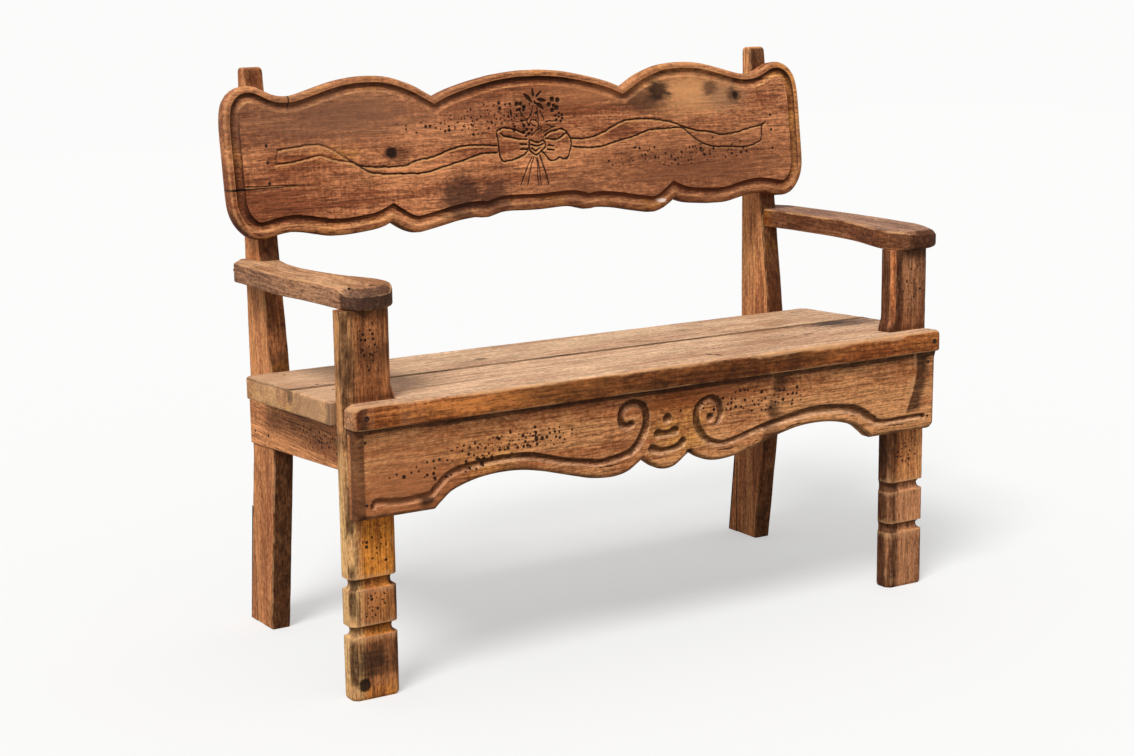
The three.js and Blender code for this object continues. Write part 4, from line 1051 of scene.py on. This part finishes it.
        # The inner flank is darkened, part dark stain and part painted shade
        grime_and_shade = grime_and_shade + 0.3 * low_block * is_front + 0.95 * on_left * ~inner_chamfer
    masks = {"worn": worn, "ochre": ochre, "bare_and_lit": bare_and_lit, "grime_and_shade": grime_and_shade}
    name = node.replace("front_post", "grooved_post")
    ring_piece(name, rings, side, material, node, masks)


SPLAY_TOP, SPLAY, POST_REAR, GLUE_LINE, HEEL_REAR = 300, 40, 444.0, 456.0, 482.0
POST_FROM, POST_THICK = 487, 34  # the rear post's inner face


def rear_post(side, material, node):
    """A rear post: a sawn slab, splayed backwards below the seat and leaning above it, with its
    heel cut along the glue line."""
    top_round, foot_reach = 10.0, 38
    corners = [(GLUE_LINE, 0), (GLUE_LINE, SPLAY_TOP * (1 - (GLUE_LINE - POST_REAR) / foot_reach)),
               (POST_REAR, SPLAY_TOP), (POST_REAR, BACK_HEIGHT), (POST_REAR - REAR_POST_TOP, BACK_HEIGHT),
               (SEAT_DEPTH, SEAT_REAR), (SEAT_DEPTH, SPLAY_TOP), (SEAT_DEPTH + SPLAY, 0)]
    outline = sawn_outline(corners, [0, 0, 0, top_round, top_round, 0, 0, 0], 12)
    rings, wear = slab(outline, POST_THICK, 2.8, 80 + side, 2.8)
    rings = sideways(rings, POST_FROM)
    y, z = rings[..., 1], rings[..., 2]
    splay = np.maximum(SPLAY_TOP - z, 0) * SPLAY / SPLAY_TOP
    fore = SEAT_DEPTH + np.maximum(z - SEAT_REAR, 0) * RECLINE + splay
    on_front = 1 - ease(y - fore, 1.5, 4)
    left = side < 0
    # The front faces are darkened, part dark stain and part painted shade under the arm and the board,
    # darkest near the arm's top
    shade = 0.95 + 0.2 * drift(z, 140, 95 + side) + 0.7 * near(z, 640, 10, 40)
    shade += -0.3 * ease(z, 450, 500) if left else 0.25 - 0.5 * (z < 430)
    masks = {
        "worn": wear * (0.5 + 0.4 * drift(z, 90, 90 + side)),
        "grime_and_shade": on_front * shade + 1.2 * ease(y, 454, 455.6) * (1 - ease(z, 140, 205)),
        "ochre": on_front * 0.5 * ease(drift(z, 60, 97 + side), 0.0, 0.6) * (z > 440),
        "bare_and_lit": (0.15 if left else 0.75) * (1 - on_front) * ease(z, 440, 470)}
    ring_piece(node + "_worn", rings, side, material, node, masks)


def plain_slab(name, rings, wear, side, seed, material, node, grime_and_shade=0.0):
    """A plank that needs no more than worn edges."""
    worn = wear * (0.6 + 0.4 * drift(rings[..., 0] + rings[..., 1], 80, seed))
    ring_piece(name, rings, side, material, node, {"worn": worn, "grime_and_shade": grime_and_shade})


def under_seat(y):
    """Height at which a piece meets the sloping underside of the seat."""
    return SEAT_HEIGHT - SEAT_THICK - SEAT_SLOPE * y - JOINT


def rails(material, across_material, heel_material):
    """The side rails, whose ends show on the posts' rear faces, the heel wedges and the rail
    under the seat's rear."""
    front, rear = POST_DEPTH + JOINT, POST_REAR + JOINT
    outline = sawn_outline([(front, under_seat(front) - 83.7), (rear, under_seat(rear) - 92.7),
                            (rear, under_seat(rear)), (front, under_seat(front))], 0, 16)
    glue = GLUE_LINE + JOINT
    heel = sawn_outline([(glue, 0), (HEEL_REAR, 0), (glue, 202.9)], [0, 0.5, 0.3], 12)
    for side, word in ((-1, "left"), (1, "right")):
        rings, wear = slab(outline, 20, 1.6, 100 + side, 1.6)
        rings = sideways(rings, 504)
        seat_at = under_seat(rings[..., 1])
        # The rail's top, under the seat's overhang, is painted with shade
        plain_slab(f"{word}_rail", rings, wear, side, 100 + side, material, f"{word}_side_rail",
                   grime_and_shade=0.5 * ease(rings[..., 2], seat_at - 9, seat_at))
        rings, wear = slab(heel, POST_THICK, 0.8, 104 + side, 0.8)
        rings = sideways(rings, POST_FROM)
        glued = 1.2 * (1 - ease(rings[..., 1], 456.6, 458.6)) * (1 - ease(rings[..., 2], 110, 180))
        plain_slab(f"{word}_heel_wedge", rings, wear, side, 104 + side, heel_material, f"{word}_heel",
                   glued)
    top, end = under_seat(SEAT_DEPTH), 503.7
    across = sawn_outline([(-end, top - 90), (end, top - 90), (end, top), (-end, top)], 0, 20)
    rings, wear = slab(across, 25, 1.6, 110, 1.6)
    rings = facing(rings, SEAT_DEPTH - JOINT)
    plain_slab("back_rail", rings, wear, 1, 110, across_material, "rear_rail")


# Arms, each edge as shares of the arm's width, inwards from the post's outer face, and of its length
ARMS = {
    "left": (598.5, -5 / 440,
             [(0.41, 0), (0.62, 0.007), (0.8, 0.031), (0.94, 0.07), (1.01, 0.13), (1, 0.215),
              (0.91, 0.283), (0.77, 0.372), (0.67, 0.487), (0.62, 0.613), (0.63, 0.712), (0.68, 0.79),
              (0.75, 0.86)],
             [(0.41, 0), (0.26, 0.008), (0.16, 0.031), (0.09, 0.07), (0.07, 0.137), (0.06, 0.248),
              (0.02, 0.358), (-0.04, 0.482), (-0.03, 0.646), (0, 0.79), (0, 0.9)]),
    "right": (601.0, 5 / 440,
              [(0.2, 0), (0.42, 0.004), (0.62, 0.022), (0.74, 0.053), (0.79, 0.1), (0.76, 0.15),
               (0.69, 0.215), (0.61, 0.281), (0.56, 0.358), (0.54, 0.469), (0.57, 0.59), (0.62, 0.712),
               (0.67, 0.8), (0.69, 0.86)],
              [(0.2, 0), (0, 0.007), (-0.15, 0.027), (-0.25, 0.064), (-0.3, 0.115), (-0.32, 0.204),
               (-0.32, 0.314), (-0.3, 0.447), (-0.26, 0.569), (-0.2, 0.69), (-0.14, 0.8), (-0.06, 0.91)]),
}
ARM_WIDE, ARM_LONG, ARM_PROUD, ARM_THICK, ARM_LIMIT = 100, 452, 12, 32, 593.9


def arm(word, side, material):
    """An arm: a slab with a chamfer along its nose, which the left one has almost flat and the
    right one has rounded over, falling as a sine of the turn."""
    height, slope, inner, outer = ARMS[word]
    left = word == "left"
    rim = [(POST_OUTER - across * ARM_WIDE, along * ARM_LONG - ARM_PROUD)
           for across, along in outer[1:] + inner[::-1]]
    x, y = rim[len(outer) - 2]
    rim[len(outer) - 1:len(outer) - 1] = [(x - 27, y + 40), (487.6, y + 40)]  # the end at the rear post
    coarse = np.array(rim)
    sharp = np.zeros(len(coarse), bool)
    sharp[len(outer) - 2:len(outer) + 2] = True
    spans = np.linalg.norm(np.roll(coarse, -1, axis=0) - coarse, axis=1)
    outline = on_curve(coarse, sharp, cut_spans(spans, 9))
    outline[:, 0] = np.minimum(outline[:, 0], ARM_LIMIT)
    x, y = outline.T
    if left:
        nose, fall, bulge, top_round, low_round = ease(-y, -34, -6), 12.0, 0.3, 1.2, 0.0
    else:
        nose, fall = ease(-y, -70, -10) * ease(x, 490, 530), 8.0 + 7.0 * ease(x, 560, 590)
        bulge, top_round, low_round = 0.9, 3.2, 4.0
    extra = []
    for share in (0.0, 0.2, 0.4, 0.6, 0.8, 1.0, 1.12):
        on = min(share, 1)
        out = bulge * (1 - math.cos(on * math.pi / 2)) + (1 - bulge) * on + share - on
        down = bulge * (1 - math.sin(on * math.pi / 2)) + (1 - bulge) * (1 - on)
        extra.append((0.1 + 1.2 * (1 - nose) + nose * (fall + 1) * out, nose * (fall - 1) * down))
    rings, wear = slab(outline, ARM_THICK, 3.8 - top_round * nose, 120 + side, 3.0 + low_round * nose, extra)
    rings[8:13, :, 2] -= nose * (fall - 1)  # the side's upper round lies under the chamfer
    rings[..., 2] += height + slope * rings[..., 1]
    x, y = rings[..., 0], rings[..., 1]
    ring = np.arange(len(rings))[:, None]
    top = ease(ring, 9.5, 12.5)
    edge = 1 - top
    chamfer = ((ring >= 12) & (ring < len(rings) - 2)) * nose
    worn = wear * (0.7 + 0.4 * drift(x + y, 90, 130 + side))
    if left:
        grime_and_shade = 1.9 * edge * ease(nose, 0.3, 0.8) * (x < 554) + 0.66 * chamfer
        worn = worn * (1 - 0.5 * nose) + 0.2 * (ring == 11) * nose + near(x, 554, 1, 3) * edge * (y < 12)
    else:
        grime_and_shade = 0.65 * edge * ease(nose, 0.3, 0.9) + 0.65 * chamfer + 0.4 * edge * (x < 530)
        worn = worn * (1 - 0.8 * nose)
    masks = {"worn": worn, "grime_and_shade": grime_and_shade, "bare_and_lit": top * (1 - 0.9 * chamfer),
             "ochre": (0.0 if left else 0.75) * ease(y, 330, 395) * edge}
    ring_piece(f"{word}_armrest", rings, side, material, f"{word}_arm", masks)


# Nail heads

# Each kind: how many on each side, head radius, how far its rim stands out, and where it faces
NAIL_KINDS = {
    "apron_nail": (2, 2.7, 1.0, (0, -1, 0)), "lip_screw": (1, 4.6, 0.6, (0, -1, 0)),
    "rail_nail": (2, 2.7, 1.0, (1, 0, 0)), "seat_nail": (3, 2.7, 0.9, (0, SEAT_SLOPE, 1)),
    "arm_nail": (2, 2.7, 0.9, (0, 0, 1)), "arm_side_nail": (2, 2.7, 0.3, (1, 0, 0)),
}


def nail_head(node, centre, normal, radius, material, proud=0.35):
    """A low dome, four rings of twelve points round the nail's axis, sunk at its rim."""
    around = 12
    normal = np.asarray(normal, float) / np.linalg.norm(normal)
    side = np.cross(normal, (0.3, 0.5, 0.81))
    side /= np.linalg.norm(side)
    up = np.cross(normal, side)
    turn = np.linspace(0, 2 * np.pi, around, endpoint=False)
    circle = np.cos(turn)[:, None] * side + np.sin(turn)[:, None] * up
    profile = ((1.0, -0.6), (1.0, proud * 0.3), (0.86, proud * 0.85), (0.45, proud))
    rings = [np.asarray(centre) + circle * radius * r + normal * h for r, h in profile]
    faces = ring_faces(len(profile), around)
    make_piece(node + "_head", np.vstack(rings), faces, material, [node], None, 60)


def nails(material):
    """A head on each nail and screw that shows, where the node's box ends."""
    off_board = (0, -math.cos(LEAN), math.sin(LEAN))
    for word, side in (("left", -1), ("right", 1)):
        for i, share in enumerate((0.373, 0.5, 0.602), 1):
            flat = np.array([[side * 504.0, BOARD_FOOT + share * BOARD_HIGH, BOARD_THICK + JOINT]])
            nail_head(f"back_nail_{word}_{i}", board_place(flat)[0], off_board, 2.9, material)
        for kind, (count, radius, proud, facing_to) in NAIL_KINDS.items():
            normal = np.array(facing_to, float) * (side, 1, 1)
            axis = np.argmax(np.abs(normal))
            for i in range(1, count + 1):
                node = f"{kind}_{word}_{i}" if count > 1 else f"{kind}_{word}"
                low, high = (np.array(corner) * 1000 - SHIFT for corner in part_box(node))
                centre = (low + high) / 2
                end = high if normal[axis] > 0 else low
                centre[axis] = end[axis] + math.copysign(proud, normal[axis])
                nail_head(node, centre, normal, radius, material)


# Finishes

back_wood = wood(
    "back_pine", "X", (0, 470, 690), "XZ", ((228, 152, 102), (150, 86, 54), (60, 29, 16)),
    bare_and_lit=((236, 174, 116), (190, 124, 76)), worn=(226, 162, 106),
    holes=[(-130, 826, 150, 24, 0.42, 9.0), (-90, 834, 130, 34, 0.4, 6.5), (-30, 842, 60, 34, 0.4, 10.0),
           (300, 748, 200, 20, 0.5, 7.0), (330, 756, 190, 26, 0.3, 10.0)],
    spots=[(150, 868, 150, 18, (216, 146, 96), 0.4, 0.9, 0.8),
           (326, 860, 84, 34, (234, 170, 112), 0.7, 0.9, 0.8),
           (-330, 858, 60, 30, (70, 44, 36), 0.5, 1.0, 0.8),
           (-420, 850, 160, 36, (92, 60, 48), 0.6, 0.9, 0.7),
           (340, 724, 230, 60, (104, 58, 38), 0.75, 1.0, 0.8),
           (-300, 850, 190, 46, (196, 136, 98), 0.3, 0.9, 0.8),
           (60, 700, 90, 30, (104, 60, 42), 0.5, 1.0, 0.8),
           (-268, 783, 22, 13, (84, 48, 32), 0.6, 0.6, 0.6),
           (-282, 788, 11, 9, (34, 18, 12), 0.96, 0.3, 0.3),
           (404, 850, 44, 24, (150, 112, 84), 0.55, 0.9, 0.6),
           (372, 866, 16, 12, (66, 42, 32), 0.7, 0.9, 0.6),
           (424, 852, 15, 12, (70, 44, 30), 0.75, 0.8, 0.5), (427, 851, 6, 7, (30, 17, 12), 0.9, 0.5, 0.4),
           (228, 850, 46, 20, (72, 44, 34), 0.75, 0.9, 0.6),
           (258, 866, 24, 17, (44, 27, 21), 0.88, 0.8, 0.5),
           (-158, 704, 38, 38, (62, 38, 30), 0.84, 0.8, 0.5),
           (-92, 702, 32, 30, (76, 46, 36), 0.75, 0.9, 0.6),
           (-512, 744.6, 66, 1.1, (30, 15, 9), 0.92, 0.15, 0.4),
           (-556, 744, 22, 2.2, (24, 12, 7), 0.95, 0.2, 0.5),
           (-458, 881, 1.4, 13, (30, 15, 9), 0.85, 0.1, 0.4),
           (250, 672, 8, 4, (230, 208, 196), 0.8, 1.6, 0.4)])
apron_wood = wood(
    "apron_pine", "X", (0, 60, 250), "XZ", ((238, 166, 108), (182, 108, 63),
                                            (70, 34, 15)), grime_and_shade=(44, 21, 11),
    holes=[(-412, 352, 120, 26, 0.7, 10.5), (-300, 374, 150, 24, 0.85, 8.5), (-250, 380, 120, 20, 0.5, 11.0),
           (165, 386, 190, 30, 0.62, 9.0)],
    spots=[(-480, 350, 80, 60, (214, 142, 92), 0.35, 0.9, 0.8),
           (-443, 302, 12, 7, (44, 24, 16), 0.85, 0.6, 0.5), (38, 315, 6, 5, (30, 15, 9), 0.9, 0.6, 0.5)],
    Ring=0.009, Figure=0.3)
seat_front_wood = wood(
    "seat_front_pine", "X", (0, 40, 560), "XY", ((220, 135, 70), (149, 79, 37), (60, 26, 10)),
    bare_and_lit=((242, 198, 158), (208, 156, 118)), ochre=((240, 174, 88), (180, 108, 46)),
    holes=[(300, 100, 80, 30, 0.3, 8.0), (95, 74, 130, 24, 0.4, 5.5)],
    spots=[(-500, 110, 110, 90, (232, 186, 144), 0.5, 0.9, 0.8),
           (109, 20, 4, 9, (48, 28, 20), 0.85, 0.4, 0.4), (116, 4, 4, 10, (48, 28, 20), 0.85, 0.4, 0.4),
           (505, 142, 66, 30, (50, 34, 26), 0.7, 1.0, 0.7),
           (470, 158, 42, 14, (36, 24, 18), 0.8, 1.1, 0.5),
           (250, 60, 90, 50, (140, 96, 72), 0.35, 0.8, 0.8), (366, 84, 12, 5, (60, 36, 24), 0.8, 0.8, 0.5)],
    Ring=0.008, Figure=0.35)
seat_rear_wood = wood(
    "seat_rear_pine", "X", (0, 230, 560), "XY", ((200, 130, 78), (140, 80, 44), (84, 46, 26)),
    bare_and_lit=((238, 196, 156), (204, 154, 116)), ochre=((240, 174, 88), (180, 108, 46)),
    spots=[(-480, 260, 120, 90, (230, 184, 142), 0.45, 0.9, 0.8),
           (-196, 242, 11, 9, (60, 36, 25), 0.7, 0.4, 0.4)],
    Ring=0.0042, Figure=0.6)
left_post_wood = wood(
    "left_post_pine", "Z", (-470, 140, 0), "XZ", ((206, 132, 80), (128, 68, 36), (52, 25, 11)),
    bare_and_lit=((255, 206, 140), (214, 154, 98)), ochre=((250, 158, 64), (160, 76, 18)),
    holes=[(-520, 545, 24, 50, 0.9, 7.5), (-516, 240, 30, 44, 0.4, 8.0), (-522, 148, 32, 28, 0.85, 7.5)],
    spots=[(-543, 25, 11, 11, (26, 17, 13), 0.95, 0.3, 0.25),
           (-530, 58, 24, 22, (40, 26, 20), 0.75, 0.9, 0.6)],
    Ring=0.006)
right_post_wood = wood(
    "right_post_pine", "Z", (590, -120, 0), "XZ", ((222, 152, 104), (150, 90, 56), (60, 30, 15)),
    bare_and_lit=((254, 180, 112), (208, 128, 76)), ochre=((234, 138, 72), (168, 88, 42)),
    holes=[(518, 245, 28, 44, 0.6, 8.0), (525, 540, 26, 50, 0.4, 7.5)],
    Ring=0.006)
rear_post_wood = wood(
    "rear_post_pine", "Z", (420, 520, 0), "YZ", ((232, 156, 100), (176, 105, 63), (84, 44, 22)),
    bare_and_lit=((246, 174, 112), (198, 128, 80)), grime_and_shade=(42, 18, 7), Ring=0.008, Figure=0.4)
rail_wood = wood(
    "rail_pine", "Y", (-620, 0, 250), "YZ", ((244, 166, 108), (184, 112, 68), (78, 40, 20)),
    holes=[(150, 372, 150, 24, 0.8, 7.5)], Ring=0.008, Stain=0.7)
back_rail_wood = wood(
    "back_rail_pine", "X", (0, 420, 260), "XZ", ((206, 142, 96), (146, 90, 56), (78, 41, 22)), Ring=0.008)
left_arm_wood = wood(
    "left_arm_pine", "Y", (-560, 0, 480), "XY", ((200, 146, 108), (146, 98, 70), (80, 48, 30)),
    bare_and_lit=((222, 169, 124), (178, 123, 84)), grime_and_shade=(58, 38, 32),
    spots=[(-500, 20, 5, 12, (70, 44, 30), 0.7, 0.5, 0.4)], Ring=0.007)
right_arm_wood = wood(
    "right_arm_pine", "Y", (560, 0, 480), "XY", ((180, 122, 82), (120, 70, 42), (62, 34, 20)),
    bare_and_lit=((194, 146, 115), (142, 97, 72)), Ring=0.007)
iron = nail_iron()

backrest(back_wood)
apron(apron_wood)
seat(seat_front_wood, seat_rear_wood)
front_post(-1, *ARMS["left"][:2], left_post_wood, "left_front_post")
front_post(1, *ARMS["right"][:2], right_post_wood, "right_front_post")
rear_post(-1, rear_post_wood, "left_rear_post")
rear_post(1, rear_post_wood, "right_rear_post")
rails(rail_wood, back_rail_wood, rear_post_wood)
arm("left", -1, left_arm_wood)
arm("right", 1, right_arm_wood)
nails(iron)
for node in frame["nodes"].values():
    if not node.hide_render:
        node.data.materials.clear()
        node.data.materials.append(iron)


# Room, light and camera


def floor():
    """A wide pale floor that looks white to the camera and keeps a soft shadow."""
    reach = 9.0
    mesh = bpy.data.meshes.new("studio_floor")
    corners = [(-reach, -reach, 0), (reach, -reach, 0), (reach, reach, 0), (-reach, reach, 0)]
    mesh.from_pydata(corners, [], [(0, 1, 2, 3)])
    piece = bpy.data.objects.new("studio_floor", mesh)
    bpy.context.collection.objects.link(piece)
    material = bpy.data.materials.new("studio_floor")
    s = fresh_sheet(material)
    seen = s.put("ShaderNodeLightPath").outputs["Is Camera Ray"]
    pale = s.mix(seen, (0.27, 0.265, 0.25, 1), (0.95, 0.95, 0.945, 1))
    matt = s.put("ShaderNodeBsdfDiffuse", {"Color": pale})
    glow = s.put("ShaderNodeEmission", {"Color": (1, 1, 0.995, 1), "Strength": 0.89})
    blend = s.put("ShaderNodeMixShader", {0: s.times(seen, 0.5), 1: matt.outputs[0], 2: glow.outputs[0]})
    s.put("ShaderNodeOutputMaterial", {"Surface": blend.outputs[0]})
    mesh.materials.append(material)


def world(strength):
    """Even light from all round, behind which the camera sees a pale wall."""
    room = bpy.data.worlds.new("studio")
    s = fresh_sheet(room)
    seen = s.put("ShaderNodeLightPath").outputs["Is Camera Ray"]
    lit = s.put("ShaderNodeBackground", {"Color": (1, 1, 1, 1), "Strength": strength})
    white = s.put("ShaderNodeBackground", {"Color": (0.966, 0.966, 0.962, 1), "Strength": 1.0})
    blend = s.put("ShaderNodeMixShader", {0: seen, 1: lit.outputs[0], 2: white.outputs[0]})
    s.put("ShaderNodeOutputWorld", {"Surface": blend.outputs[0]})
    bpy.context.scene.world = room


def sky_lamp(name, towards, spread, strength):
    """Even light from one side of the room, as through a wide window."""
    light = bpy.data.lights.new(name, "SUN")
    light.angle = math.radians(spread)
    light.energy = strength
    piece = bpy.data.objects.new(name, light)
    piece.rotation_euler = Vector(towards).to_track_quat("Z", "Y").to_euler()
    bpy.context.collection.objects.link(piece)


def camera():
    """The photograph's view: turned 31.6 degrees towards +X and 11.3 degrees down."""
    film, image_width, focal_length = 36, 1134, 2104.1  # in mm, and in the photograph's pixels
    eye = (-1.87905, -2.96775, 1.1016)
    yaw, pitch, roll = (math.radians(a) for a in (31.631, 11.312, -0.735))
    ahead = Vector((math.sin(yaw) * math.cos(pitch), math.cos(yaw) * math.cos(pitch), -math.sin(pitch)))
    level = Vector((math.cos(yaw), -math.sin(yaw), 0))
    rise = level.cross(ahead)
    right = level * math.cos(roll) + rise * math.sin(roll)
    up = rise * math.cos(roll) - level * math.sin(roll)
    lens = bpy.data.cameras.new("camera")
    lens.sensor_width = film
    lens.lens = focal_length / image_width * film
    lens.clip_end = 60
    piece = bpy.data.objects.new("camera", lens)
    turn = Matrix((right, up, -ahead)).transposed().to_4x4()
    piece.matrix_world = Matrix.Translation(eye) @ turn
    bpy.context.collection.objects.link(piece)
    bpy.context.scene.camera = piece


floor()
world(0.49)
sky_lamp("key", (-0.52, -0.36, 0.78), 22, 2.5)
camera()
bpy.context.scene.view_settings.view_transform = "Standard"
